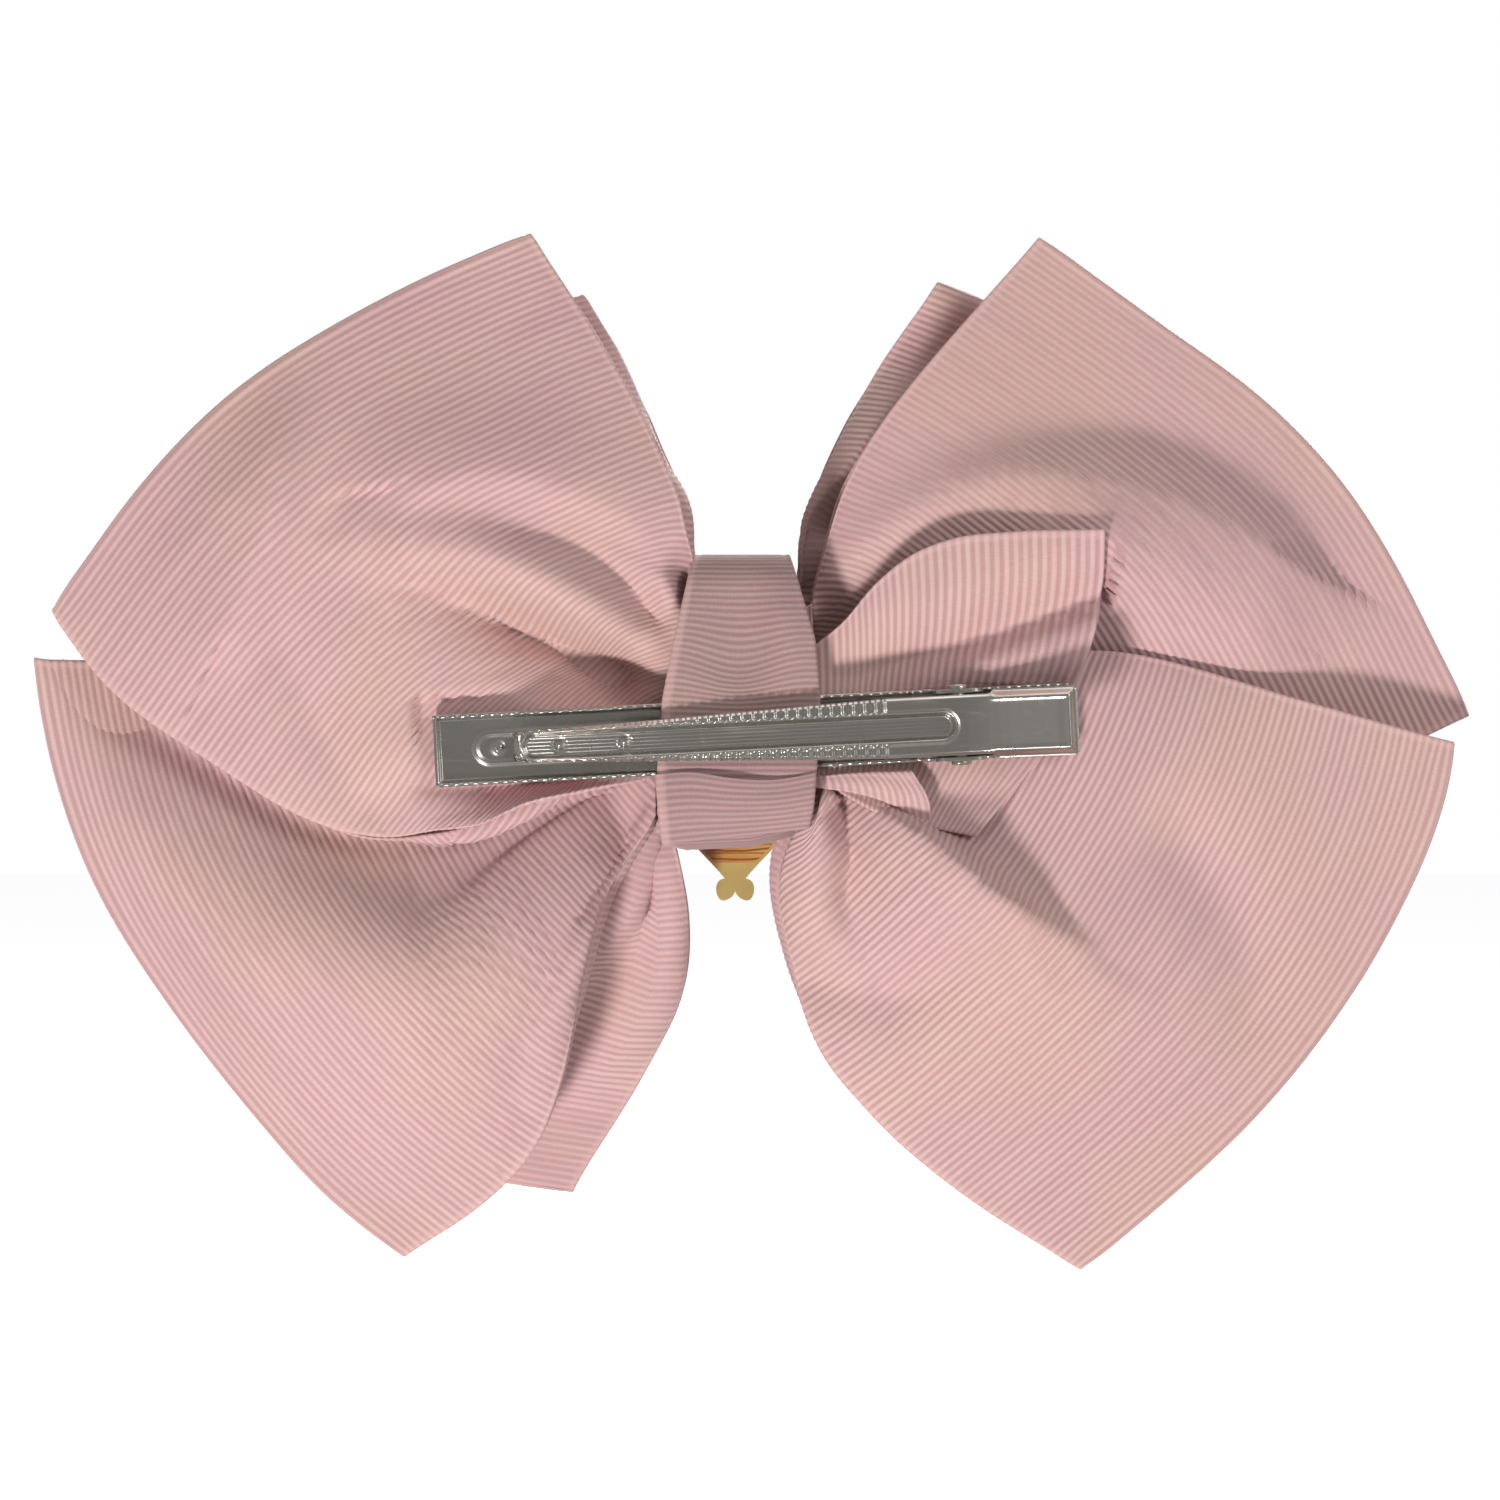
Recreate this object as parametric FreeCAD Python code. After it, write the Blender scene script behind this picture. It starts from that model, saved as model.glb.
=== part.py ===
"""Large grosgrain hair bow on a toothed alligator clip, in millimetres.

Row frame: +X along the bow's width, +Z up as worn, -Y out of the clip side, which lies against the head.
The origin is on the gripping face of the clip's base arm, at the middle of the knot.
The clip is drawn in its own frame (along, out, across) and then turned as a whole into the row frame.
"""

import FreeCAD, Part
import math
import os

V = FreeCAD.Vector
ORIGIN = V(0, 0, 0)

# ---------------------------------------------------------------- driving dimensions
RIBBON_THICK = 0.6  # one thickness of wide ribbon, with its ribs
BAND_WIDTH = 18.7  # narrow ribbon round the knot
BAND_THICK = 0.6

CLIP_TILT = 3.0  # degrees that the clip's thumb end is turned up
CLIP_ROLL = 2.5  # degrees that the clip leans about its own length
SHEET = 0.5  # sheet steel of both arms

BASE_TIP = -35.7  # along the clip
BASE_END = 38.6
BASE_WIDTH = 8.4
RIM_HEIGHT = 1.2

HINGE_ALONG = 25.6
HINGE_OUT = 2.6
PIN_RADIUS = 0.75
PIN_CLEARANCE = 0.05
EAR_HALF = 3.0  # half the length of a base ear
EAR_TOP = 1.4  # height of an ear above the pin's axis

JAW_TIP = -26.5
JAW_END = 39.3
TEETH_END = 17.2
TOOTH_PITCH = 1.3
CHANNEL_WIDTH = 3.1
CHANNEL_DEPTH = 0.5

SPRING_THICK = 0.3
SPRING_WIDTH = 4.4

# The knot, and the band's half-widths at its top, at its foot and underneath.
KNOT_TOP, KNOT_BOTTOM = 21.2, -13.6
KNOT_BACK, KNOT_FRONT = -2.3, 19.4
BAND_TOP_HALF, BAND_FOOT_HALF, BAND_UNDER_HALF = 5.2, 8.2, 5.6

# Layers of ribbon from the clip side to the front: middle and half-depth at the knot and half-way out.
ROOT_FIRST, ROOT_PITCH, ROOT_HALF = 3.9, 3.9, 1.7
LAYERS = ((7.6, 5.0), (18.1, 4.7), (27.6, 3.9), (36.2, 3.9))
FLARE_START, FLARE_LENGTH = 11.0, 30.0
FOLD_START = 0.72  # share of a loop's length at which its fold begins

# Four strips of wide ribbon, from the clip side to the front; each is bent into two opposite loops.
# A loop is seen from the clip side, as (x, z) points: where its two selvedges leave the knot, the points
# that bend them, and the two corners of its fold; then how far the fold bows out.
STRIPS = {
    "ribbon_layer_1": (
        dict(root=((-5.6, 17.5), (-8.4, -4.0)), bend=((-9.0, 36.0), (-49.0, -30.0)),
             fold=((-24.6, 58.8), (-80.7, 14.6)), bow=7.3),
        dict(root=((8.4, 5.0), (8.0, -7.4)), bend=((50.0, 16.0), (2.0, -38.0)),
             fold=((84.0, -0.8), (40.0, -62.7)), bow=7.4)),
    "ribbon_layer_2": (
        dict(root=((6.2, 16.0), (8.4, -1.0)), bend=((14.0, 36.0), (48.0, -6.0)),
             fold=((35.3, 58.8), (86.3, 2.3)), bow=7.4),
        dict(root=((-8.4, 5.0), (-7.4, -9.6)), bend=((-50.0, 6.0), (-24.0, -30.0)),
             fold=((-83.6, 9.4), (-38.6, -61.6)), bow=8.2)),
    "ribbon_layer_3": (
        dict(root=((6.2, 16.5), (8.4, -1.0)), bend=((11.0, 37.0), (45.0, -6.0)),
             fold=((24.0, 54.4), (78.0, 2.0)), bow=6.0),
        dict(root=((-8.4, 4.0), (-7.6, -9.4)), bend=((-46.0, 4.0), (0.0, -34.0)),
             fold=((-74.0, 4.0), (-19.9, -55.0)), bow=6.0)),
    "ribbon_layer_4": (
        dict(root=((-5.6, 17.5), (-8.4, -4.0)), bend=((-7.5, 37.0), (-45.0, -20.0)),
             fold=((-18.9, 52.9), (-74.0, 11.5)), bow=6.0),
        dict(root=((8.4, 5.0), (7.6, -8.6)), bend=((45.0, 8.0), (6.0, -36.0)),
             fold=((78.0, -4.0), (31.0, -54.0)), bow=6.0)),
}

# Cut ends of the wide ribbon beside the knot: (x, z) outline, knot side first, and the plane they lie in.
TAILS = {
    "ribbon_tail_long": dict(
        outline=((9.9, 12.0), (30.4, 21.6), (42.7, 24.0), (40.9, 5.3), (35.7, -2.3), (27.6, -11.9),
                 (9.9, -5.0)),
        back=1.45),
    "ribbon_tail_short": dict(
        outline=((9.9, -4.3), (20.4, -4.0), (22.0, -7.6), (22.5, -10.9), (17.0, -8.6), (9.9, -7.2)),
        back=0.6),
}
TAIL_THICK = 0.5

# Charm on the front of the knot.
CHARM_X = -0.6
CHARM_Y = 20.6
CHARM_TAIL_TIP, CHARM_NOTCH, CHARM_NECK = -19.7, -18.56, -17.1
CHARM_TOP, CHARM_WIDEST, CHARM_HALF = 13.0, 0.0, 8.2
CHARM_PLATE, CHARM_ENAMEL, CHARM_DOME = 0.8, 0.25, 2.0


# ---------------------------------------------------------------- small helpers
def lerp(a, b, t):
    return a + (b - a) * t


def mix(p, q, t):
    return tuple(lerp(a, b, t) for a, b in zip(p, q))


def smooth(t):
    t = max(0.0, min(1.0, t))
    return t * t * (3 - 2 * t)


def spline(points):
    curve = Part.BSplineCurve()
    curve.interpolate(points)
    return curve.toShape()


def face_of(points):
    return Part.Face(Part.makePolygon(list(points) + [points[0]]))


def save(name, shape):
    solids = shape.Solids
    if not solids or not all(s.isValid() and s.Volume > 0 for s in solids):
        raise SystemExit(f"{name} is not a set of valid solids")
    out = solids[0] if len(solids) == 1 else Part.makeCompound(solids)
    out.exportStep(f"parts/{name}.step")
    box = out.BoundBox
    print(f"{name}: {len(solids)} solid(s), {sum(s.Volume for s in solids):.1f} mm3,"
          f" x {box.XMin:.1f}..{box.XMax:.1f} y {box.YMin:.1f}..{box.YMax:.1f}"
          f" z {box.ZMin:.1f}..{box.ZMax:.1f}")


# ---------------------------------------------------------------- ribbon loops
def depth_at(x, z, layer):
    """Middle and half-depth, along Y, of a layer's loops at this distance from the knot."""
    out = smooth((math.hypot(x, z / 2) - FLARE_START) / FLARE_LENGTH)
    middle, half = LAYERS[layer]
    return lerp(ROOT_FIRST + ROOT_PITCH * layer, middle, out), lerp(ROOT_HALF, half, out)


def plan(loop, along, across):
    """(x, z) of a loop's point: along runs from the knot to the fold, across between the selvedges."""
    hump = 4 * across * (1 - across)
    root = mix(*loop["root"], across)
    (ax, az), (bx, bz) = loop["fold"]
    chord = math.hypot(bx - ax, bz - az)
    side = (-(bz - az) / chord, (bx - ax) / chord)
    middle = mix(*loop["fold"], 0.5)
    if side[0] * middle[0] + side[1] * middle[1] < 0:
        side = (-side[0], -side[1])
    fold = tuple(lerp(a, b, across) + loop["bow"] * hump * s for a, b, s in zip(*loop["fold"], side))
    bend = mix(*loop["bend"], across)
    straight = mix(mix(*loop["root"], 0.5), middle, 0.5)
    centre = mix(*loop["bend"], 0.5)
    bend = tuple(b + hump * (s - c) for b, s, c in zip(bend, straight, centre))
    return tuple((1 - along) ** 2 * r + 2 * along * (1 - along) * b + along ** 2 * f
                 for r, b, f in zip(root, bend, fold))


def loop_line(loop, layer, across, inset):
    """Points round one section of a loop, from its back root round the fold to its front root."""
    steps_out, steps_fold = 10, 8
    start, end = plan(loop, FOLD_START, across), plan(loop, 1.0, across)
    share = 1 - inset / math.dist(start, end)
    legs = []
    for side in (-1, 1):
        leg = []
        for i in range(steps_out):
            x, z = plan(loop, FOLD_START * i / steps_out, across)
            middle, half = depth_at(x, z, layer)
            leg.append(V(x, middle + side * (half - inset), z))
        for i in range(steps_fold):
            turn = math.pi / 2 * i / steps_fold
            x, z = plan(loop, FOLD_START + (1 - FOLD_START) * share * math.sin(turn), across)
            middle, half = depth_at(x, z, layer)
            leg.append(V(x, middle + side * (half - inset) * math.cos(turn), z))
        legs.append(leg)
    x, z = plan(loop, FOLD_START + (1 - FOLD_START) * share, across)
    return legs[0] + [V(x, depth_at(x, z, layer)[0], z)] + legs[1][::-1]


def ribbon_loop(loop, layer):
    """A length of ribbon bent back on itself: an outer and an inner skin, closed round their borders."""
    sections = 9
    skins = []
    for inset in (0.0, RIBBON_THICK):
        surface = Part.BSplineSurface()
        surface.interpolate([loop_line(loop, layer, i / (sections - 1), inset) for i in range(sections)])
        skins.append(surface)
    faces = [skin.toShape() for skin in skins]
    for outer, inner in zip(borders(skins[0]), borders(skins[1])):
        faces.append(Part.makeRuledSurface(outer, inner))
    shell = Part.makeShell(faces)
    shell.sewShape()
    return Part.makeSolid(Part.Shell(shell.Faces))


def borders(surface):
    u0, u1, v0, v1 = surface.bounds()
    curves = surface.uIso(u0), surface.uIso(u1), surface.vIso(v0), surface.vIso(v1)
    return [curve.toShape() for curve in curves]


def gathered_middle(layer):
    """The pleated middle of a strip, inside the knot band, a little shallower than the loops' ends."""
    half = ROOT_HALF - 0.15
    back = ROOT_FIRST + ROOT_PITCH * layer - half
    right = [(5.9, 19.0), (8.9, 8.0), (9.2, -6.0), (7.2, -12.2)]
    left = [(-x, z) for x, z in right[::-1]]
    return face_of([V(x, back, z) for x, z in right + left]).extrude(V(0, 2 * half, 0))


def ribbon_strip(layer, loops):
    return gathered_middle(layer).multiFuse([ribbon_loop(loop, layer) for loop in loops])


def ribbon_tail(tail):
    """A short cut end of ribbon, flat behind the clip."""
    (x0, z0), *rest = tail["outline"]
    points = [V(x0, tail["back"], z0)] + [V(x, tail["back"], z) for x, z in rest]
    return face_of(points).extrude(V(0, TAIL_THICK, 0))


# ---------------------------------------------------------------- knot
def knot_outline(grow):
    """The band's section, a rounded ring round the knot, in the YZ plane."""
    points = [(KNOT_BACK, 6.5), (KNOT_BACK, -7.5), (-0.6, KNOT_BOTTOM + 0.4), (1.0, KNOT_BOTTOM),
              (KNOT_FRONT - 1.5, KNOT_BOTTOM), (KNOT_FRONT, KNOT_BOTTOM + 1.5), (KNOT_FRONT, KNOT_TOP - 2.0),
              (KNOT_FRONT - 2.0, KNOT_TOP), (3.5, KNOT_TOP), (0.8, KNOT_TOP - 1.0)]
    wire = Part.makePolygon([V(0, y, z) for y, z in points + points[:1]])
    return wire if grow == 0 else wire.makeOffset2D(grow)


def knot_band():
    half = BAND_WIDTH / 2
    outer, inner = Part.Face(knot_outline(0)), Part.Face(knot_outline(-BAND_THICK))
    ring = outer.cut(inner).extrude(V(BAND_WIDTH, 0, 0))
    ring.translate(V(-half, 0, 0))
    foot = [(half, -6), (BAND_FOOT_HALF, KNOT_BOTTOM + 1.6), (BAND_UNDER_HALF, KNOT_BOTTOM + 1),
            (BAND_UNDER_HALF, KNOT_BOTTOM - 1)]
    sides = [(-BAND_TOP_HALF, KNOT_TOP + 1), (BAND_TOP_HALF + 1, KNOT_TOP + 1), (half, 8)]
    sides += foot + [(-x, z) for x, z in foot[::-1]] + [(-half, 8)]
    reach = KNOT_FRONT - KNOT_BACK + 2
    shape = face_of([V(x, KNOT_BACK - 1, z) for x, z in sides]).extrude(V(0, reach, 0))
    return ring.common(shape)


def gathering_thread():
    """Turns of thread that bind the gathered ribbon, under the band."""
    turns, pitch, radius, slack = 6, 0.4, 0.22, 0.28
    back = ROOT_FIRST - ROOT_HALF - slack
    front = ROOT_FIRST + ROOT_PITCH * (len(STRIPS) - 1) + ROOT_HALF + slack
    low, high, corner = -12.2 - slack, 19.0 + slack, 0.4
    rings = []
    for i in range(turns):
        x = pitch * (i - (turns - 1) / 2)
        outline = Part.makePolygon([V(x, back, low), V(x, front, low), V(x, front, high), V(x, back, high),
                                    V(x, back, low)])
        wire = Part.Wire(Part.__sortEdges__(round_corners(outline, corner)))
        start = wire.Edges[0].valueAt(wire.Edges[0].FirstParameter)
        way = wire.Edges[0].tangentAt(wire.Edges[0].FirstParameter)
        profile = Part.Wire([Part.makeCircle(radius, start, way)])
        rings.append(wire.makePipeShell([profile], True, True))
    return rings[0].multiFuse(rings[1:])


def round_corners(polygon, radius):
    """The edges of a closed right-angled outline in a plane of constant X, with round corners."""
    corners = [v.Point for v in polygon.OrderedVertexes][:4]
    edges = []
    for i, corner in enumerate(corners):
        before, after = corners[i - 1], corners[(i + 1) % 4]
        first, second = (before - corner).normalize(), (after - corner).normalize()
        start, end = corner + first * radius, corner + second * radius
        middle = corner + (first + second) * radius * (1 - math.sqrt(0.5))
        edges.append(Part.Arc(start, middle, end).toShape())
        following = (corner - after).normalize()
        edges.append(Part.makeLine(end, after + following * radius))
    return edges


# ---------------------------------------------------------------- charm
def charm_face(inset, depth, with_tail):
    """The charm's outline, a drop that narrows to a small forked tail, in a plane of constant Y."""
    half, neck = CHARM_HALF - inset, 1.25 - inset * 0.4
    low = CHARM_NECK if with_tail else CHARM_NECK + 1.9
    flank = [(2.0 - inset, -16.2), (3.6 - inset, -14.5)] if with_tail else []
    top = CHARM_TOP - inset

    def at(x, z):
        return V(CHARM_X + x, depth, z)

    def side(s):
        points = [(neck if with_tail else 2.2, low)] + flank
        points += [(half * 0.64, -12.6 + inset), (half, CHARM_WIDEST), (half * 0.72, top * 0.72), (0, top)]
        return [at(s * x, z) for x, z in points]

    right, left = spline(side(1)), spline(side(-1)[::-1])
    if not with_tail:
        return Part.Face(Part.Wire([right, left, Part.makeLine(at(-2.2, low), at(2.2, low))]))
    tip = CHARM_TAIL_TIP
    lobe = [at(-neck, low), at(-2.2, tip + 0.8), at(-1.6, tip), at(-0.8, tip + 0.15), at(0, CHARM_NOTCH)]
    other = [V(2 * CHARM_X - p.x, p.y, p.z) for p in lobe[::-1]]
    return Part.Face(Part.Wire([right, left, spline(lobe), spline(other)]))


def charm_plate():
    return charm_face(0, CHARM_Y, True).extrude(V(0, CHARM_PLATE, 0))


def charm_back_enamel():
    """Banded enamel on the side towards the knot, with shallow grooves between its bands."""
    groove, depth, pitch = 0.18, 0.12, 1.05
    slab = charm_face(0.35, CHARM_Y - CHARM_ENAMEL, False).extrude(V(0, CHARM_ENAMEL, 0))
    cutters = []
    z = CHARM_NECK + 3.0
    while z < CHARM_TOP - 2:
        cutters.append(Part.makeBox(2 * CHARM_HALF + 2, depth, groove,
                                    V(CHARM_X - CHARM_HALF - 1, CHARM_Y - CHARM_ENAMEL, z)))
        z += pitch
    return slab.cut(Part.makeCompound(cutters))


def charm_front_dome():
    """Stepped enamel on the front of the charm."""
    front = CHARM_Y + CHARM_PLATE
    steps = [charm_face(inset, front, False).extrude(V(0, rise, 0))
             for inset, rise in ((0.7, CHARM_DOME * 0.6), (1.7, CHARM_DOME))]
    return steps[0].fuse(steps[1])


def charm_glue_pad():
    radius, front = 4.0, CHARM_Y - CHARM_ENAMEL
    return Part.makeCylinder(radius, front - KNOT_FRONT, V(CHARM_X, KNOT_FRONT, 2.0), V(0, 1, 0))


# ---------------------------------------------------------------- clip, in its own frame
def clip_point(along, out, across=0.0):
    return V(along, -out, across)


def to_row(shape):
    """Turns the clip from its own frame into the row frame."""
    shape = shape.copy()
    shape.rotate(ORIGIN, V(1, 0, 0), CLIP_ROLL)
    shape.rotate(ORIGIN, V(0, 1, 0), -CLIP_TILT)
    return shape


def prism(outline, low, high):
    """A plan outline of (along, across) points, raised between two heights out of the gripping face."""
    points = [clip_point(a, low, c) for a, c in outline]
    return face_of(points).extrude(clip_point(0, high - low))


def slot_outline(start, end, width):
    """A long slot with round ends, as a wire on the gripping face."""
    half = width / 2
    first, last = start + half, end - half
    corners = [clip_point(a, 0, c) for a, c in ((first, -half), (last, -half), (last, half), (first, half))]
    return Part.Wire([Part.makeLine(corners[0], corners[1]),
                      Part.Arc(corners[1], clip_point(end, 0), corners[2]).toShape(),
                      Part.makeLine(corners[2], corners[3]),
                      Part.Arc(corners[3], clip_point(start, 0), corners[0]).toShape()])


def slot_prism(start, end, width, low, high):
    face = Part.Face(slot_outline(start, end, width))
    face.translate(clip_point(0, low))
    return face.extrude(clip_point(0, high - low))


def pin_hole(across_from, across_to, radius):
    return Part.makeCylinder(radius, across_to - across_from,
                             clip_point(HINGE_ALONG, HINGE_OUT, across_from), V(0, 0, 1))


def clip_base_arm():
    """Shallow channel of sheet steel with rims, a long stamped bead, a dimple and two hinge ears."""
    half, bead_height = BASE_WIDTH / 2, 0.3
    plate = prism(((BASE_TIP, -half), (BASE_END, -half), (BASE_END, half), (BASE_TIP, half)), -SHEET, 0)
    parts = []
    for s in (-1, 1):
        low, high = sorted((s * half, s * (half - SHEET)))
        for start, end, height in ((BASE_TIP, TEETH_END + 3, RIM_HEIGHT),
                                   (BASE_END - 8.0, BASE_END, RIM_HEIGHT * 0.8),
                                   (TEETH_END + 2.5, BASE_END - 7.5, RIM_HEIGHT * 0.5)):
            parts.append(prism(((start, low), (end, low), (end, high), (start, high)), 0, height))
        ear = prism(((HINGE_ALONG - EAR_HALF, low), (HINGE_ALONG + EAR_HALF, low),
                     (HINGE_ALONG + EAR_HALF, high), (HINGE_ALONG - EAR_HALF, high)), 0, HINGE_OUT + EAR_TOP)
        corner = [e for e in ear.Edges if abs(e.Length - SHEET) < 1e-6
                  and abs(e.CenterOfMass.y + HINGE_OUT + EAR_TOP) < 1e-6]
        parts.append(ear.makeFillet(EAR_TOP, corner))
    for start in (BASE_TIP, BASE_END - SHEET):
        height = RIM_HEIGHT if start == BASE_TIP else RIM_HEIGHT * 0.8
        end = start + SHEET
        parts.append(prism(((start, -half), (end, -half), (end, half), (start, half)), 0, height))
    bead = slot_prism(-30.9, 13.0, 3.9, 0, bead_height).cut(slot_prism(-30.4, 12.5, 2.9, -1, 1))
    dimple = Part.makeSphere(0.95, clip_point(-28.3, -0.45))
    dimple = dimple.common(prism(((-31, -2), (-26, -2), (-26, 2), (-31, 2)), 0, 1))
    arm = plate.multiFuse(parts + [bead, dimple]).removeSplitter()
    arm = arm.cut(pin_hole(-half - 1, half + 1, PIN_RADIUS + PIN_CLEARANCE))
    upright = [e for e in arm.Edges if abs(e.Length - SHEET - RIM_HEIGHT) < 1e-3
               and abs(e.CenterOfMass.x - BASE_TIP) < 1e-3 and abs(abs(e.CenterOfMass.z) - half) < 1e-3]
    return arm.makeFillet(0.6, upright) if upright else arm


# Height of the jaw's upper face out of the gripping face, from its tip to its thumb end.
JAW_RISE = ((-26.5, 1.45), (-22.0, 2.5), (-16.0, 3.35), (-9.0, 3.95), (0.0, 4.3), (9.0, 4.5), (17.2, 4.6),
            (25.6, 4.7), (29.0, 5.1), (33.0, 6.3), (39.3, 8.4))


def jaw_height(along):
    """Height of the jaw's upper face: straight runs between JAW_RISE's points, eased by an average."""
    def straight(a):
        for (x0, h0), (x1, h1) in zip(JAW_RISE, JAW_RISE[1:]):
            if a <= x1:
                return lerp(h0, h1, (a - x0) / (x1 - x0))
        (x0, h0), (x1, h1) = JAW_RISE[-2:]
        return lerp(h0, h1, (a - x0) / (x1 - x0))

    reach, samples = 2.5, 5
    return sum(straight(along + reach * (2 * i / (samples - 1) - 1)) for i in range(samples)) / samples


def jaw_band(start, end, top, bottom):
    """A strip that follows the jaw's side view, between two distances under its upper face."""
    steps = max(4, round((end - start) / 3.5))
    stations = [lerp(start, end, i / steps) for i in range(steps + 1)]
    across = BASE_WIDTH
    upper = [clip_point(a, jaw_height(a) - top, -across) for a in stations]
    lower = [clip_point(a, jaw_height(a) - bottom, -across) for a in stations]
    wire = Part.Wire([spline(upper), Part.makeLine(upper[-1], lower[-1]), spline(lower[::-1]),
                      Part.makeLine(lower[0], upper[0])])
    return Part.Face(wire).extrude(V(0, 0, 2 * across))


def toothed_band(start, end):
    """The jaw's serrated strip: ridges on its upper face and teeth below, both across the clip."""
    ridge, tooth = 0.22, 0.45
    count = round((end - start) / TOOTH_PITCH)
    pitch = (end - start) / count
    profile = ((0.0, 0.12, 0.0), (0.3, -ridge, 0.0), (0.6, -ridge, tooth), (0.9, 0.12, 0.0))
    upper, lower = [], []
    for i in range(count):
        a = start + pitch * i
        for share, up, down in profile:
            at = a + pitch * share
            upper.append(clip_point(at, jaw_height(at) - up, -BASE_WIDTH))
            lower.append(clip_point(at, jaw_height(at) - SHEET - down, -BASE_WIDTH))
    return face_of(upper + lower[::-1]).extrude(V(0, 0, 2 * BASE_WIDTH))


def jaw_plan(shrink=0.0):
    """The jaw's plan outline: a narrow rounded tip, widening to the hinge and again to the thumb tab."""
    tip, hinge, tab = 1.7 - shrink, 3.5 - shrink, 4.0 - shrink
    shoulder = HINGE_ALONG + EAR_HALF + 0.6
    start = JAW_TIP + shrink
    half = [(start, tip - 0.9), (start + 0.25, tip - 0.3), (start + 0.9, tip),
            (TEETH_END, hinge), (shoulder, hinge), (shoulder + 0.5, tab), (JAW_END - 0.5 - shrink, tab),
            (JAW_END - shrink, tab - 0.5)]
    return half + [(a, -c) for a, c in half[::-1]]


def clip_jaw_arm():
    """Toothed upper arm: serrated strips beside a stamped channel, hinge ears and a rimmed thumb tab."""
    low, high = -3, 14
    channel_start, channel_end = JAW_TIP + 1.1, HINGE_ALONG - 0.5
    outline = prism(jaw_plan(), low, high)
    hollow = slot_prism(channel_start, channel_end, CHANNEL_WIDTH, low, high)
    inside = slot_prism(channel_start + 0.4, channel_end - 0.4, CHANNEL_WIDTH - 0.8, low, high)
    teeth = toothed_band(JAW_TIP, TEETH_END).common(outline).cut(hollow)
    plain = jaw_band(TEETH_END - 0.2, JAW_END + 1, 0, SHEET).common(outline).cut(hollow)
    wall = jaw_band(JAW_TIP, HINGE_ALONG + 1, 0, CHANNEL_DEPTH + SHEET * 0.8)
    wall = wall.common(outline.common(hollow)).cut(inside)
    floor = jaw_band(JAW_TIP, HINGE_ALONG + 1, CHANNEL_DEPTH, CHANNEL_DEPTH + SHEET * 0.8).common(inside)
    parts = [plain, wall, floor]
    for s in (-1, 1):
        outer = 3.5
        ear_low, ear_high = sorted((s * outer, s * (outer - SHEET)))
        ear = prism(((HINGE_ALONG - 2.0, ear_low), (HINGE_ALONG + 2.0, ear_low),
                     (HINGE_ALONG + 2.0, ear_high), (HINGE_ALONG - 2.0, ear_high)),
                    HINGE_OUT - EAR_TOP, jaw_height(HINGE_ALONG) - SHEET / 2)
        foot = [e for e in ear.Edges if abs(e.Length - SHEET) < 1e-6
                and abs(e.CenterOfMass.y + HINGE_OUT - EAR_TOP) < 1e-6]
        parts.append(ear.makeFillet(1.2, foot))
    tab_start, skirt = HINGE_ALONG + EAR_HALF + 1.3, 1.3
    skirt_shape = jaw_band(tab_start, JAW_END + 1, 0, skirt).common(outline)
    hollowed = jaw_band(tab_start - 1, JAW_END + 2, SHEET, skirt + 1)
    hollowed = hollowed.common(prism(jaw_plan(SHEET), low, high))
    parts.append(skirt_shape.cut(hollowed))
    for along in (-21.1, -13.5):
        rise = jaw_height(along) - CHANNEL_DEPTH
        dome = Part.makeSphere(0.75, clip_point(along, rise - 0.45))
        parts.append(dome.common(prism(((along - 1, -1), (along + 1, -1), (along + 1, 1), (along - 1, 1)),
                                       rise - 0.2, rise + 1)))
    arm = teeth.multiFuse(parts)
    return arm.cut(pin_hole(-BASE_WIDTH, BASE_WIDTH, PIN_RADIUS + PIN_CLEARANCE))


def clip_hinge_pin():
    """Pin through all four ears, with a low round head outside each."""
    half, head = BASE_WIDTH / 2, 0.45
    pin = pin_hole(-half - 0.05, half + 0.05, PIN_RADIUS)
    for s in (-1, 1):
        low, high = sorted((s * (half + 0.05), s * (half + 0.05 + head)))
        cap = pin_hole(low, high, PIN_RADIUS * 1.6)
        rim = [e for e in cap.Edges if abs(e.BoundBox.ZMax - e.BoundBox.ZMin) < 1e-6
               and abs(e.CenterOfMass.z - s * (half + 0.05 + head)) < 1e-6]
        pin = pin.fuse(cap.makeFillet(head * 0.6, rim))
    return pin.removeSplitter()


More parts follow.
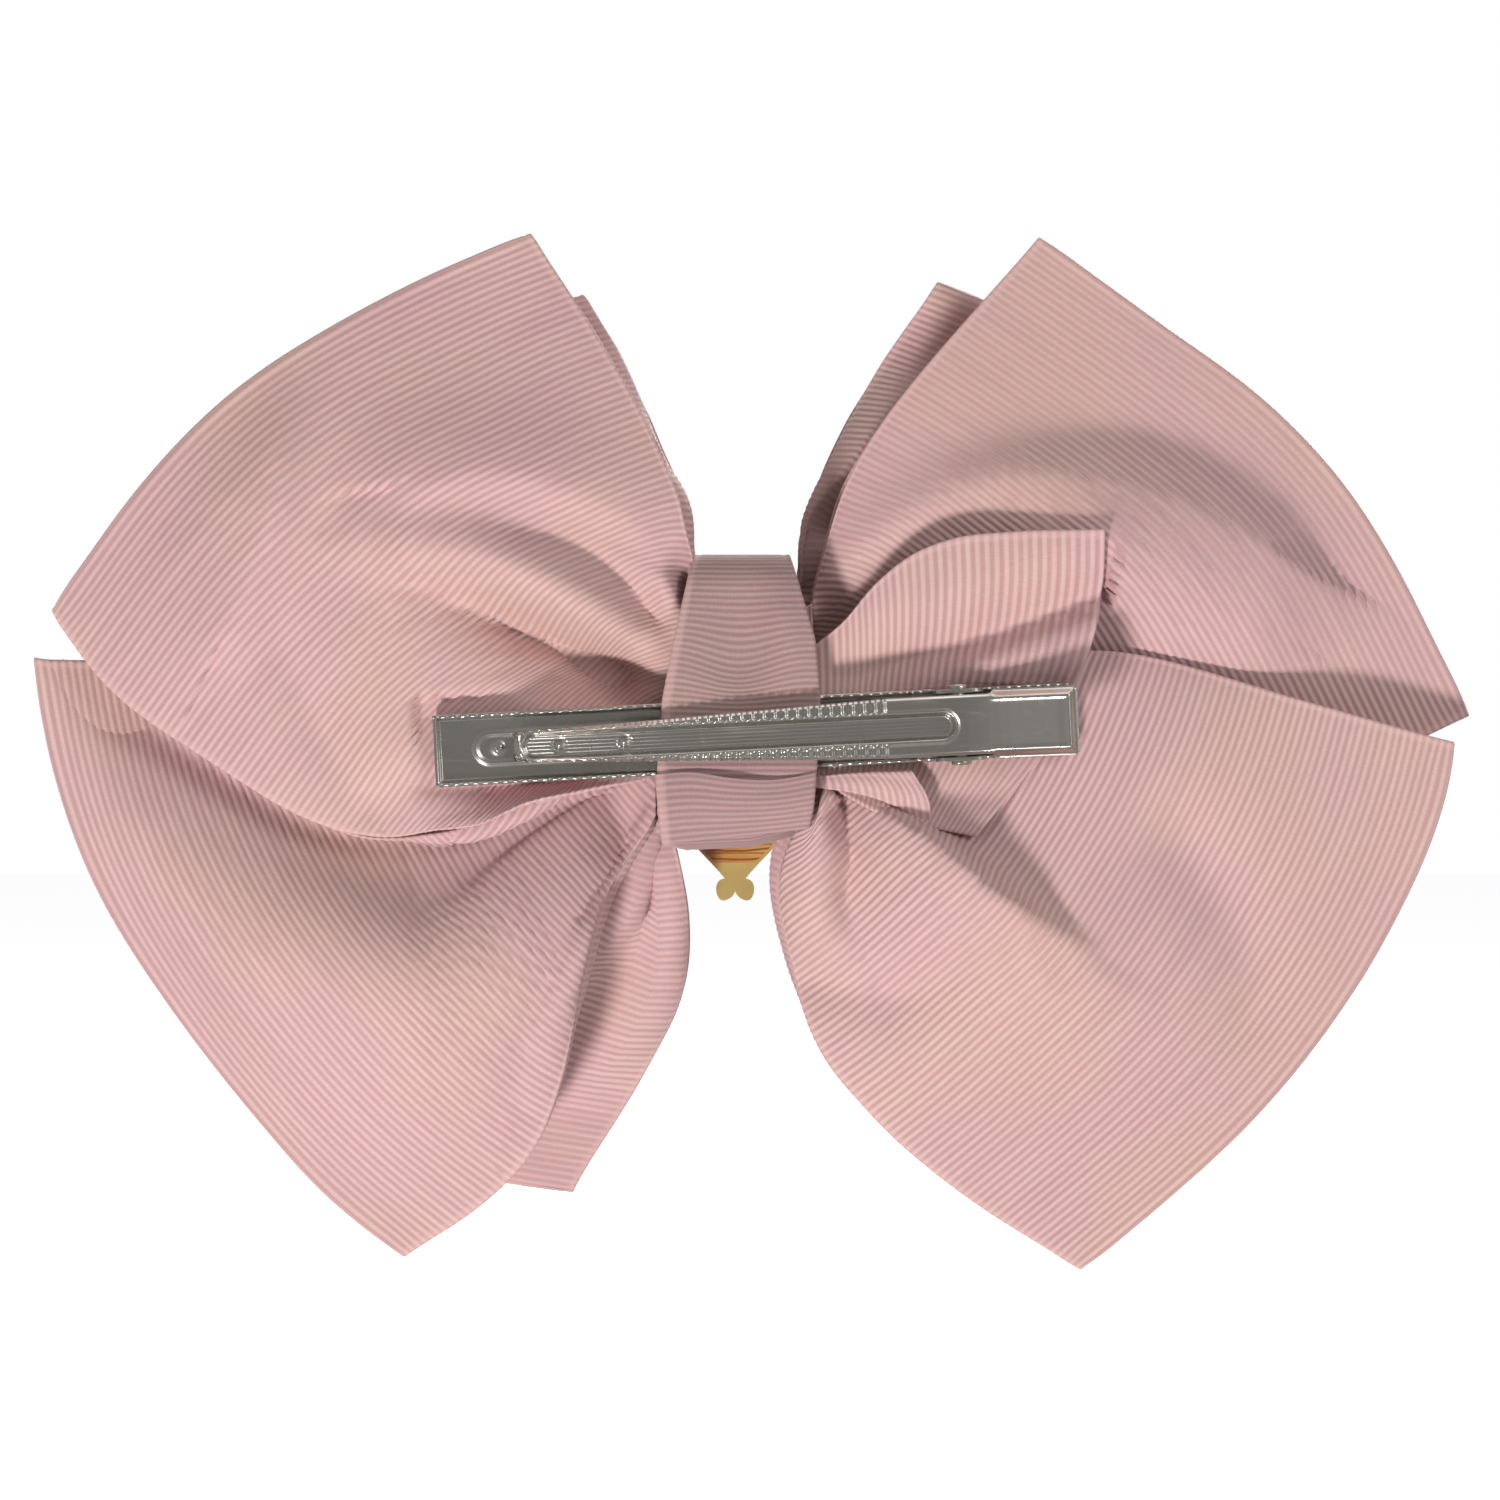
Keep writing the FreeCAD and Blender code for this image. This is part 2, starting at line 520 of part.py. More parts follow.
def clip_spring():
    """Leaf spring rolled round the pin: one leg on the base arm, the other under the thumb tab."""
    inner = PIN_RADIUS + 0.06
    outer = inner + SPRING_THICK
    low_end, low_out = 35.5, 0.06
    rise_end = 36.0

    def arc(radius, first, last):
        angles = [math.radians(lerp(first, last, i / 2)) for i in range(3)]
        points = [clip_point(HINGE_ALONG + radius * math.cos(a), HINGE_OUT + radius * math.sin(a))
                  for a in angles]
        return Part.Arc(*points).toShape()

    def tab_under(along, gap):
        return clip_point(along, jaw_height(along) - SHEET - gap)

    def leg(first, points):
        return [Part.makeLine(a, b) for a, b in zip([first] + points[:-1], points)]

    coil_outer, coil_inner = arc(outer, 82, 270), arc(inner, 270, 82)
    bottom_outer, bottom_inner = coil_outer.Vertexes[-1].Point, coil_inner.Vertexes[0].Point
    top_outer, top_inner = coil_outer.Vertexes[0].Point, coil_inner.Vertexes[-1].Point
    low_leg = [clip_point(low_end - 4, low_out), clip_point(low_end, low_out),
               clip_point(low_end, low_out + SPRING_THICK), clip_point(low_end - 4, low_out + SPRING_THICK),
               bottom_inner]
    high_leg = [clip_point(HINGE_ALONG + 2.6, HINGE_OUT + 0.75),
                tab_under(rise_end, 0.08 + SPRING_THICK), tab_under(rise_end, 0.08),
                clip_point(HINGE_ALONG + 2.6, HINGE_OUT + 0.75 + SPRING_THICK * 1.05), top_outer]
    edges = [coil_outer] + leg(bottom_outer, low_leg) + [coil_inner] + leg(top_inner, high_leg)
    side = Part.Face(Part.Wire(Part.__sortEdges__(edges)))
    side.translate(V(0, 0, -SPRING_WIDTH / 2))
    return side.extrude(V(0, 0, SPRING_WIDTH))


# ---------------------------------------------------------------- build
def main():
    os.makedirs("parts", exist_ok=True)
    for layer, (name, loops) in enumerate(STRIPS.items()):
        save(name, ribbon_strip(layer, loops))
    for name, tail in TAILS.items():
        save(name, ribbon_tail(tail))
    save("knot_band", knot_band())
    save("gathering_thread", gathering_thread())
    save("charm_plate", charm_plate())
    save("charm_back_enamel", charm_back_enamel())
    save("charm_front_dome", charm_front_dome())
    save("charm_glue_pad", charm_glue_pad())
    save("clip_base_arm", to_row(clip_base_arm()))
    save("clip_jaw_arm", to_row(clip_jaw_arm()))
    save("clip_hinge_pin", to_row(clip_hinge_pin()))
    save("clip_spring", to_row(clip_spring()))
    pin = Part.Vertex(clip_point(HINGE_ALONG, HINGE_OUT))
    tip = Part.Vertex(clip_point(HINGE_ALONG, HINGE_OUT, 1.0))
    place, end = to_row(pin).Point, to_row(tip).Point
    print("hinge at", tuple(round(c, 4) for c in place), "axis", tuple(round(c, 5) for c in end - place))
    out = to_row(Part.Vertex(clip_point(0, 1.0))).Point
    print("gripping face's normal", tuple(round(c, 5) for c in out))


main()
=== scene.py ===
import math
import bpy
import numpy as np
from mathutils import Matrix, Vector

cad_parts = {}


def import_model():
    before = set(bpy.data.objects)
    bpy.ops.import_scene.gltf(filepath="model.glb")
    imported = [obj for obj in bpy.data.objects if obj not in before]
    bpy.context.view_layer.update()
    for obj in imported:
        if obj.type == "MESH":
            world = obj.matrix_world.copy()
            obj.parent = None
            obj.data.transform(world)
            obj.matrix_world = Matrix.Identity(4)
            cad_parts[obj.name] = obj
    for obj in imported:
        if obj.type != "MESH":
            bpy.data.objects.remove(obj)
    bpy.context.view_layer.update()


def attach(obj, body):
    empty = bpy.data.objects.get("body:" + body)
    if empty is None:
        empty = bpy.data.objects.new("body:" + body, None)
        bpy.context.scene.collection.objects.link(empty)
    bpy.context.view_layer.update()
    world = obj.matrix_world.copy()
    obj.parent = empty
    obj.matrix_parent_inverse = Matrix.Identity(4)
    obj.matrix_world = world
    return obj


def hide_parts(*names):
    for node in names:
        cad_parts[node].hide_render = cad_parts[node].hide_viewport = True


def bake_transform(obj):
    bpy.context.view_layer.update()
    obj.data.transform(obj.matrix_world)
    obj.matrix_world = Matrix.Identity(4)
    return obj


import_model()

MM = 0.001
TURN = 2 * math.pi

# -------- ribbon measures, in millimetres
WIDTH = 75.0
RIB = 0.89  # from one cord of the wide ribbon to the next
FINE_RIB = 0.72  # the knot band's
THICK = 0.34
BAND_WIDTH = 17.0  # the knot band's, where its selvedges are coloured
RIB_LIFT = 0.11  # how far a cord stands out on each face
ROWS = 40  # rows of the relaxed grid in one leg of a loop
COLS = 30  # columns of it across the ribbon
GATHER = 0.5  # share of the width left at the knot, where the pleats lie flat on each other
SPRINGY = 0.35  # how strongly the ribbon evens out its own bends
STIFF = {"stretch": 0.9, "width": 0.7, "shear": 0.35}
HOLD = 0.012  # pull back to the starting place on the open cloth, and next along x, y, z on its edges
EDGE_HOLD, FOLD_HOLD, CORNER_HOLD = (0.30, 0.06, 0.30), (0.35, 0.12, 0.35), (0.6, 0.3, 0.6)
KNOT_RADIUS = 9.0
ROOT_ROOM = 0.9  # how far a leg may leave its depth at the knot
OPEN_OUT = 22.0  # distance from the knot over which a loop opens to its full depth
CLIP_SLOPE = 0.0524  # rise of the clip's middle line per millimetre along X
ARM_ROOM = 6.5  # half the height of the strip that the base arm presses on
ANYWHERE = -99.0  # a depth limit that never acts


def pleats(height, *places):
    """Plain pleats that run straight out from the knot."""
    return tuple((place, 0.0, 0.12, height, 40) for place in places)


FRONT_PLEATS = pleats(7.0, 0.3, 0.72)

# Loops seen from the clip side, as (x, z) points. a and b are the selvedges from the knot to the fold, and
# fold is the folded edge from a to b. y gives depths: root back, root front, fold at a, fold at b. bow is how
# far the back leg's two selvedges and then the front leg's two bow out in depth. spread is the least and the
# greatest depth away from the knot, and slack is the ribbon's length over that of its selvedges. seeds start
# the back leg's pleats, as (place across, its drift in 40 mm, width, height towards the clip side, reach from
# the knot), and seeds_front the front leg's where they aren't FRONT_PLEATS, with heights away from the clip
# side. A loop that is in FOLDS has its back leg's pleats evened out later, and its own folds worked in.
LOOPS = {
    "UL": dict(
        a=((-5.6, 19.5), (-6.8, 25.5), (-11.3, 36.8), (-16.6, 46.2), (-24.6, 58.8)),
        b=((-9.9, -4.4), (-22.2, -7.8), (-36.3, -11.9), (-45.6, -11.3), (-63.2, -2.3), (-74.9, 6.0),
           (-80.7, 14.6)),
        fold=((-24.6, 58.8), (-38.1, 53.2), (-47.3, 48.5), (-61.3, 39.2), (-70.2, 29.8), (-76.8, 20.5),
              (-80.7, 14.6)),
        y=(3.0, 4.9, 6.0, 6.5), bow=(-4.0, -2.0, 3.0, 1.5), spread=(-8.0, 15.0), slack=1.03,
        seeds=((0.10, 0.10, 0.06, -3.0, 34), (0.34, 0.06, 0.12, 8.0, 36))),
    "LR": dict(
        a=((8.8, -6.0), (4.6, -17.0), (6.1, -26.3), (8.9, -35.7), (15.9, -45.0), (26.7, -54.4),
           (40.0, -62.7)),
        b=((9.9, 4.4), (25.0, 8.8), (42.1, 9.9), (65.5, 4.1), (84.0, -0.8)),
        fold=((40.0, -62.7), (50.3, -54.4), (60.7, -45.0), (68.5, -35.7), (77.2, -21.6), (82.9, -7.6),
              (84.0, -0.8)),
        y=(3.0, 4.9, 6.5, 6.0), bow=(-1.0, -1.5, 4.0, 2.0), spread=(-7.0, 15.0), slack=1.03,
        seeds=((0.40, 0.02, 0.10, 6.0, 40), (0.54, 0.0, 0.06, -3.0, 36))),
    "UR": dict(
        a=((8.4, 15.4), (9.6, 20.5), (13.3, 31.1), (17.0, 37.0), (23.2, 44.6), (35.3, 58.8)),
        b=((9.9, -3.0), (25.0, -8.0), (45.0, -10.0), (68.0, -6.0), (86.3, 2.3)),
        fold=((35.3, 58.8), (49.6, 48.5), (62.6, 39.2), (71.5, 29.8), (77.4, 20.5), (82.0, 11.1),
              (86.3, 2.3)),
        y=(6.9, 8.8, 10.0, 12.0), bow=(-3.5, 0.5, 3.0, 3.0), spread=(-2.0, 19.0), slack=1.02,
        seeds=((0.17, 0.16, 0.10, -3.0, 52),),
        seeds_front=pleats(5.0, 0.3, 0.7)),
    "LL": dict(
        a=((-9.9, 5.0), (-30.0, 7.5), (-60.0, 8.5), (-83.6, 9.4)),
        b=((-9.9, -9.4), (-16.4, -20.4), (-18.8, -29.7), (-21.3, -41.3), (-25.4, -50.5), (-30.9, -56.1),
           (-39.6, -61.6)),
        fold=((-83.6, 9.4), (-81.6, -2.9), (-76.8, -17.0), (-68.2, -31.0), (-57.4, -45.0), (-49.1, -54.4),
              (-39.6, -61.6)),
        y=(6.9, 8.8, 10.0, 10.0), bow=(0.5, -3.5, 3.0, 3.0), spread=(-2.0, 19.0), slack=1.005,
        seeds=(),
        seeds_front=pleats(5.0, 0.3, 0.7)),
    "UR2": dict(
        a=((7.0, 17.0), (8.1, 25.1), (11.6, 34.5), (16.8, 43.9), (23.6, 54.2)),
        b=((9.9, -2.0), (40.0, -8.0), (77.0, 0.0)),
        fold=((23.6, 54.2), (44.0, 45.0), (62.0, 30.0), (72.0, 15.0), (77.0, 0.0)),
        y=(10.8, 12.7, 22.0, 24.0), bow=(0.0, 2.0, 4.0, 4.0), spread=(14.0, 32.0), slack=1.03,
        seeds=pleats(4.0, 0.35, 0.7)),
    "LL2": dict(
        a=((-9.9, 5.0), (-40.0, 7.0), (-74.0, 4.0)),
        b=((-9.0, -8.0), (-6.3, -21.6), (-7.1, -31.0), (-11.6, -40.4), (-19.9, -54.6)),
        fold=((-74.0, 4.0), (-70.0, -16.0), (-58.0, -36.0), (-42.0, -50.0), (-19.9, -54.6)),
        y=(10.8, 12.7, 22.0, 22.0), bow=(2.0, 0.0, 4.0, 4.0), spread=(14.0, 32.0), slack=1.005,
        seeds=()),
    "UL2": dict(
        a=((-5.6, 19.5), (-6.0, 25.1), (-9.8, 34.5), (-13.7, 43.9), (-18.9, 52.9)),
        b=((-9.9, -4.0), (-40.0, -6.0), (-73.0, 10.0)),
        fold=((-18.9, 52.9), (-40.0, 45.0), (-57.0, 35.0), (-68.0, 22.0), (-73.0, 10.0)),
        y=(14.7, 16.6, 28.0, 30.0), bow=(0.0, 1.0, 5.0, 5.0), spread=(18.0, 43.0), slack=1.03,
        seeds=pleats(4.0, 0.35, 0.7)),
    "LR2": dict(
        a=((8.8, -6.0), (9.0, -20.0), (14.0, -36.0), (32.0, -54.0)),
        b=((9.9, 4.0), (40.0, 6.0), (77.0, -4.0)),
        fold=((32.0, -54.0), (52.0, -44.0), (67.0, -28.0), (77.0, -4.0)),
        y=(14.7, 16.6, 30.0, 28.0), bow=(0.0, 1.0, 5.0, 5.0), spread=(18.0, 43.0), slack=1.03,
        seeds=pleats(4.0, 0.35, 0.7)),
}


# Ridges and valleys worked into the loops' back legs, each drawn outwards from the knot as (x, z) points.
# Then come its height towards the clip side at even steps along it, its width to the left and to the right of
# the way it is drawn, how far the cords slide outwards along it, and its crest (1 a crease, 2 round).
FOLDS = {
    "UL": (
        (((-9.4, 5.8), (-16.3, 8.3), (-22.0, 10.9), (-27.7, 13.4), (-33.0, 15.6), (-40.0, 18.0)),
         (-10.0, -11.5, -10.5, -6.0, -0.8), (4.4, 3.2), -1.0, 1.1),
        (((-8.2, 8.4), (-19.2, 15.2), (-32.0, 20.9), (-43.8, 22.7)), (4.0, 3.0, 1.2), (4.5, 3.5), 1.5, 2),
        (((-8.8, 12.8), (-14.0, 18.2), (-19.2, 21.8), (-28.3, 25.4)), (-5.0, -3.0, -0.8),
         (3.2, 2.2), -1.0, 1.2),
        (((-7.2, 16.5), (-10.0, 23.0), (-19.2, 28.6), (-28.3, 30.9), (-38.0, 29.5)), (2.5, 3.0, 1.6),
         (3.0, 8.0), 0.0, 2),
        (((-60.3, 12.5), (-54.5, 25.4), (-54.8, 41.9)), (2.5, 4.0, 2.5), (10.0, 4.0), 0.0, 1.5),
        (((-53.0, 9.0), (-48.5, 0.0), (-44.0, -8.0)), (-1.0, -1.6, -1.0), (4.0, 3.0), 0.0, 1.8),
        (((-12.0, -0.6), (-25.0, -1.4), (-40.0, -2.4)), (4.0, 4.0, 1.5), (6.0, 6.0), 0.0, 2),
        (((-11.0, -4.2), (-20.0, -4.8), (-30.0, -5.4), (-38.0, -5.8)), (-4.0, -7.0, -6.5, -1.5),
         (3.4, 1.5), 0.0, 1.1),
        (((-11.0, -5.0), (-19.0, -7.0), (-28.0, -9.8), (-38.0, -12.0)), (2.0, 2.4, 1.6, 0.2),
         (1.6, 1.8), 0.0, 2),
    ),
    "UR": (
        (((12.5, 17.0), (19.5, 25.0), (30.0, 29.5), (40.9, 29.8), (51.0, 27.5), (61.0, 22.5)),
         (2.5, 4.5, 3.5), (4.2, 11.0), 1.0, 1.8),
        (((24.0, 17.0), (42.0, 19.0), (58.0, 13.0)), (1.5, 5.5, 3.0), (9.0, 10.0), 0.0, 2),
        (((10.5, 12.5), (16.0, 18.5), (23.0, 22.5)), (-2.5, -2.0, -0.5), (2.5, 4.0), 0.0, 1.4),
    ),
    "LL": (
        (((-13.0, -6.0), (-22.2, -8.4), (-36.3, -12.5), (-45.6, -12.0), (-63.2, -3.0), (-76.0, 6.0)),
         (-2.0, -3.4), (9.0, 3.0), 0.0, 1.2),
        (((-22.0, -24.0), (-38.0, -31.0), (-55.0, -27.0), (-70.0, -15.0)), (2.5, 5.0, 5.0, 3.0),
         (14.0, 12.0), 0.0, 2),
        (((-10.6, -8.4), (-15.4, -16.5), (-20.4, -24.0), (-24.0, -33.0), (-26.4, -44.0)), (-3.5, -1.2),
         (1.8, 6.0), 0.0, 1.2),
    ),
    "LR": (
        (((8.8, -6.2), (13.4, -7.4), (18.0, -9.6), (22.5, -12.2), (27.7, -16.4), (34.5, -21.0),
          (41.0, -25.6)),
         (1.0, 3.6, 5.0, 4.0, 0.8), (1.1, 7.0), 1.5, 1.8),
        (((10.4, -8.7), (12.2, -14.0), (12.2, -19.5), (14.0, -25.0)), (-4.5, -0.8), (5.5, 1.2), 0.0, 1.3),
        (((7.4, -8.0), (8.2, -15.0), (9.5, -23.0)), (3.0, 0.8), (2.4, 3.0), 0.0, 2),
        (((8.0, -28.5), (17.8, -30.6), (26.5, -27.5), (34.0, -24.0)), (-2.2, -0.8), (4.0, 4.0), 0.0, 1.6),
        (((52.0, -13.0), (57.0, -20.0), (60.0, -26.5), (61.0, -34.0)), (-1.8, -1.4), (5.0, 5.0), 0.0, 1.8),
    ),
}


# -------- small numeric helpers
def new_object(name, data):
    """An object in the scene with this mesh, lamp or camera."""
    obj = bpy.data.objects.new(name, data)
    bpy.context.collection.objects.link(obj)
    return obj


def even(count):
    """Evenly spaced places from 0 to 1."""
    return np.linspace(0, 1, count)


def smooth(t):
    """0 to 1 with level ends."""
    t = np.clip(t, 0, 1)
    return t * t * (3 - 2 * t)


def catmull(points, t):
    """Points on a Catmull-Rom curve through points, spaced by chord length, at t from 0 to 1."""
    p = np.array(points, float)
    chord = np.r_[0, np.cumsum(np.linalg.norm(np.diff(p, axis=0), axis=1))]
    x = np.clip(t, 0, 1) * chord[-1]
    i = np.clip(np.searchsorted(chord, x, side="right") - 1, 0, len(p) - 2)
    h = (chord[i + 1] - chord[i])[:, None]
    f = ((x - chord[i]) / h[:, 0])[:, None]
    slope = np.gradient(p, chord, axis=0)
    a, b, c, d = 2 * f**3 - 3 * f**2 + 1, f**3 - 2 * f**2 + f, -2 * f**3 + 3 * f**2, f**3 - f**2
    return a * p[i] + b * h * slope[i] + c * p[i + 1] + d * h * slope[i + 1]


def mean_length(P, axis=0):
    """Length of a line of points, or mean length of a grid's lines along an axis."""
    return np.linalg.norm(np.diff(P, axis=axis), axis=-1).sum(axis).mean()


def blend_edges(top, bottom, left, right):
    """A patch between two side lines, top and bottom, and two end lines, left and right."""
    U, W = even(len(top))[:, None, None], even(len(left))[None, :, None]
    u, w = 1 - U, 1 - W
    return (w * top[:, None] + W * bottom[:, None] + u * left[None] + U * right[None]
            - u * w * top[0] - u * W * bottom[0] - U * w * top[-1] - U * W * bottom[-1])


# -------- ribbon relaxation
def leg_start(loop, front):
    """The starting shape of one leg, rows from the knot to the fold, with its two selvedge curves."""
    u, v = even(ROWS + 1), even(COLS + 1)
    root_y = loop["y"][1 if front else 0]
    bow_a, bow_b = loop["bow"][2:] if front else loop["bow"][:2]
    edges = []
    for name, fold_y, bow in (("a", loop["y"][2], bow_a), ("b", loop["y"][3], bow_b)):
        xz = catmull(loop[name], u)
        belly = np.sin(math.pi * np.clip(u * 1.05, 0, 1)) ** 1.2
        y = root_y + (fold_y - root_y) * smooth(u * 1.15) + bow * belly
        edges.append(np.c_[xz[:, 0], y, xz[:, 1]])
    fold = catmull(loop["fold"], v)
    fold = np.c_[fold[:, 0], loop["y"][2] + (loop["y"][3] - loop["y"][2]) * v, fold[:, 1]]
    a, b = edges
    root = a[0] + (b[0] - a[0]) * v[:, None]
    leg = blend_edges(a, b, root, fold)
    away = np.hypot(leg[..., 0], leg[..., 2]) - KNOT_RADIUS
    sign = 1 if front else -1
    seeds = loop.get("seeds_front", FRONT_PLEATS) if front else loop["seeds"]
    for place, drift, width, height, reach in seeds:
        centre = place + drift * np.maximum(away, 0) / 40
        leg[..., 1] += (sign * height * np.exp(-((v[None] - centre) / width) ** 2)
                        * smooth(away / 7) * np.exp(-(away / reach) ** 2))
    leg[..., 1] += sign * 3.0 * 16 * (u * (1 - u))[:, None] * (v * (1 - v))[None]
    return leg


def flat_grid(loop, back, front):
    """Where each node lies on the flat ribbon: length from the fold, and place across."""
    v = even(COLS + 1)
    lengths = []
    for leg in (back, front):
        la, lb = mean_length(leg[:, 0]) * loop["slack"], mean_length(leg[:, -1]) * loop["slack"]
        lengths.append(la + (lb - la) * v)
    u = even(ROWS + 1)[:, None]
    s = np.concatenate([-(1 - u) * lengths[0], (1 - u[:-1][::-1]) * lengths[1]])
    return np.stack([s, np.broadcast_to(v * WIDTH, s.shape)], -1), lengths


def pull(P, W, A, B, rest, stiff):
    """One pass over independent distance constraints between P[A] and P[B], which move as freely as W."""
    d = P[B] - P[A]
    length = np.sqrt((d * d).sum(-1)) + 1e-9
    k = (stiff * (length - rest) / (length * np.maximum(W[A] + W[B], 1e-9)))[..., None] * d
    P[A] += W[A][..., None] * k
    P[B] -= W[B][..., None] * k


def colours(rows, cols):
    """Slices of the grid whose constraints share no node, as (first, second, kind)."""
    every, sets = slice(None), []
    for p in (0, 1):
        n = (rows - p) // 2 * 2
        sets.append(((every, slice(p, p + n, 2), every), (every, slice(p + 1, p + n, 2), every), "stretch"))
        n = (cols - p) // 2 * 2
        sets.append(((every, every, slice(p, p + n, 2)), (every, every, slice(p + 1, p + n, 2)), "width"))
    for p in (0, 1):
        n = (rows - p) // 2 * 2
        for c0, c1 in ((slice(0, -1), slice(1, None)), (slice(1, None), slice(0, -1))):
            sets.append(((every, slice(p, p + n, 2), c0), (every, slice(p + 1, p + n, 2), c1), "shear"))
    return sets


def bends(P):
    """From each node to the middle of the four round it, or of the two beside it on a selvedge."""
    out = np.zeros_like(P)
    out[:, 1:-1, 1:-1] = ((P[:, 2:, 1:-1] + P[:, :-2, 1:-1] + P[:, 1:-1, 2:] + P[:, 1:-1, :-2]) / 4
                          - P[:, 1:-1, 1:-1])
    for side in (0, -1):
        out[:, 1:-1, side] = (P[:, 2:, side] + P[:, :-2, side]) / 2 - P[:, 1:-1, side]
    return out


def plate(P):
    """The change that evens out bends, as a thin springy sheet does, at each node away from the borders."""
    out = bends(bends(P))
    for row in (1, -2):
        out[:, row, [0, -1]] = 0
    return -out


def depth_limits(names, target, rows):
    """Lowest and highest depth of every node, so that no leg passes through another."""
    out = smooth((np.hypot(target[..., 0], target[..., 2]) - KNOT_RADIUS) / OPEN_OUT)
    back = np.arange(rows)[None, :, None] <= ROWS
    root = np.array([LOOPS[n]["y"][:2] for n in names])[:, :, None, None]
    spread = np.array([LOOPS[n]["spread"] for n in names])[:, :, None, None]
    fold = np.array([(LOOPS[n]["y"][2] + LOOPS[n]["y"][3]) / 2 for n in names])[:, None, None]
    middle = root.mean(1) + (fold - root.mean(1)) * out
    low = np.where(back, root[:, 0] - ROOT_ROOM + (spread[:, 0] - root[:, 0]) * out, middle)
    high = np.where(back, middle, root[:, 1] + ROOT_ROOM + (spread[:, 1] - root[:, 1]) * out)
    x, z = target[..., 0], target[..., 2]
    for n, name in enumerate(names):
        if name in ("UL", "LR"):  # in front of UR and LL, where those lie beside the knot
            clear = z[n] - 10 if name == "UL" else -12 - z[n]
            high[n] = np.minimum(high[n], 7.4 + 12 * smooth(clear / 10))
        if name in ("UR", "LL"):  # behind UL and LR, up to their selvedges
            edge = sorted(LOOPS["UL" if name == "LL" else "LR"]["b"])
            above = z[n] - np.interp(x[n], *np.array(edge).T)
            clear = (-above if name == "LL" else above) - 2.5
            low[n] = np.maximum(low[n], 6.6 + 1.9 * out[n] - 10 * smooth(clear / 16))
    return np.minimum(low, high), high


def tail_depth(x, z):
    """Depth of the long tail: pressed flat by the clip, bulged beside it, creased, then puffed out."""
    crease = np.interp(x, (8.0, 14.0, 24.3, 33.4, 44.0), (6.0, 6.8, 9.6, 13.0, 17.0))
    above = z - crease
    out = smooth((x - 8) / 12)
    puff, crest = smooth(above / 8), np.exp(-(above / 1.8) ** 2)
    bulge = smooth(-above / 3.2) * smooth((z - CLIP_SLOPE * x - 4.5) / 1.2)
    return 1.1 + out * (1.5 * crest - 2.8 * puff - 2.6 * bulge) - smooth((-7.0 - z) / 5)


def under_clip(P):
    """Least depth of the loops under the clip's base arm and under the tails."""
    x, z = P[..., 0], P[..., 2]
    arm = (np.abs(z - CLIP_SLOPE * x) < ARM_ROOM) & (x > -38) & (x < 41)
    foot = np.interp(x, (8.0, 17.0, 22.5, 28.0, 36.5, 41.0, 44.5),
                     (-5.6, -7.6, -10.8, -12.4, -1.5, 5.3, 22.0))
    tail = (x > 8) & (x < 44.5) & (z > foot) & (z < 13 + 0.4 * (x - 10))
    return np.where(tail, tail_depth(x, z) + 0.9, np.where(arm, 1.3, ANYWHERE))


def relax(rounds=500):
    """Every loop's grid, settled so that the ribbon is neither stretched nor creased."""
    names = list(LOOPS)
    starts, flats, lens = [], [], []
    for name in names:
        back, front = leg_start(LOOPS[name], False), leg_start(LOOPS[name], True)
        flat, lengths = flat_grid(LOOPS[name], back, front)
        starts.append(np.concatenate([back, front[:-1][::-1]]))
        flats.append(flat)
        lens.append(lengths)
    P, flat = np.array(starts), np.array(flats)
    target = P.copy()
    rows, cols = P.shape[1:3]
    W = np.ones(P.shape[:3])
    W[:, 0] = W[:, -1] = 0
    share = 1 - np.abs(np.arange(rows) / ROWS - 1)
    ease = (GATHER + (1 - GATHER) * smooth(share / 0.42))[None, :, None]
    sets = []
    for A, B, kind in colours(rows, cols):
        d = flat[B] - flat[A]
        if kind != "stretch":
            gathered = np.broadcast_to(ease[:, A[1]], d[..., 1].shape)
            d = d * np.stack([np.ones_like(gathered), gathered], -1)
        sets.append((A, B, np.linalg.norm(d, axis=-1), kind))
    hold = np.full(P.shape, HOLD)
    hold[:, :, 0] = hold[:, :, -1] = EDGE_HOLD
    hold[:, ROWS] = FOLD_HOLD
    hold[:, ROWS, 0] = hold[:, ROWS, -1] = CORNER_HOLD
    low, high = depth_limits(names, target, rows)
    for _ in range(rounds):
        for A, B, rest, kind in sets:
            pull(P, W, A, B, rest, STIFF[kind])
        for _ in range(2):
            P += SPRINGY * plate(P) * W[..., None]
        P += hold * (target - P) * W[..., None]
        np.clip(P[..., 1], low, high, out=P[..., 1])
        P[..., 1] = np.maximum(P[..., 1], under_clip(P))
    return {n: (P[i], lens[i]) for i, n in enumerate(names)}


def calm(P, turns=45):
    """The back leg evened out, so that its folds are only those worked into it."""
    Q = P.copy()
    leg = Q[None, :ROWS + 1]
    for _ in range(turns):
        change = bends(leg)
        leg[:, :, 1:-1] += change[:, :, 1:-1] * (0.15, 0.5, 0.15)
        leg[:, :, ::COLS, 1] += change[:, :, ::COLS, 1] * 0.3
    return Q


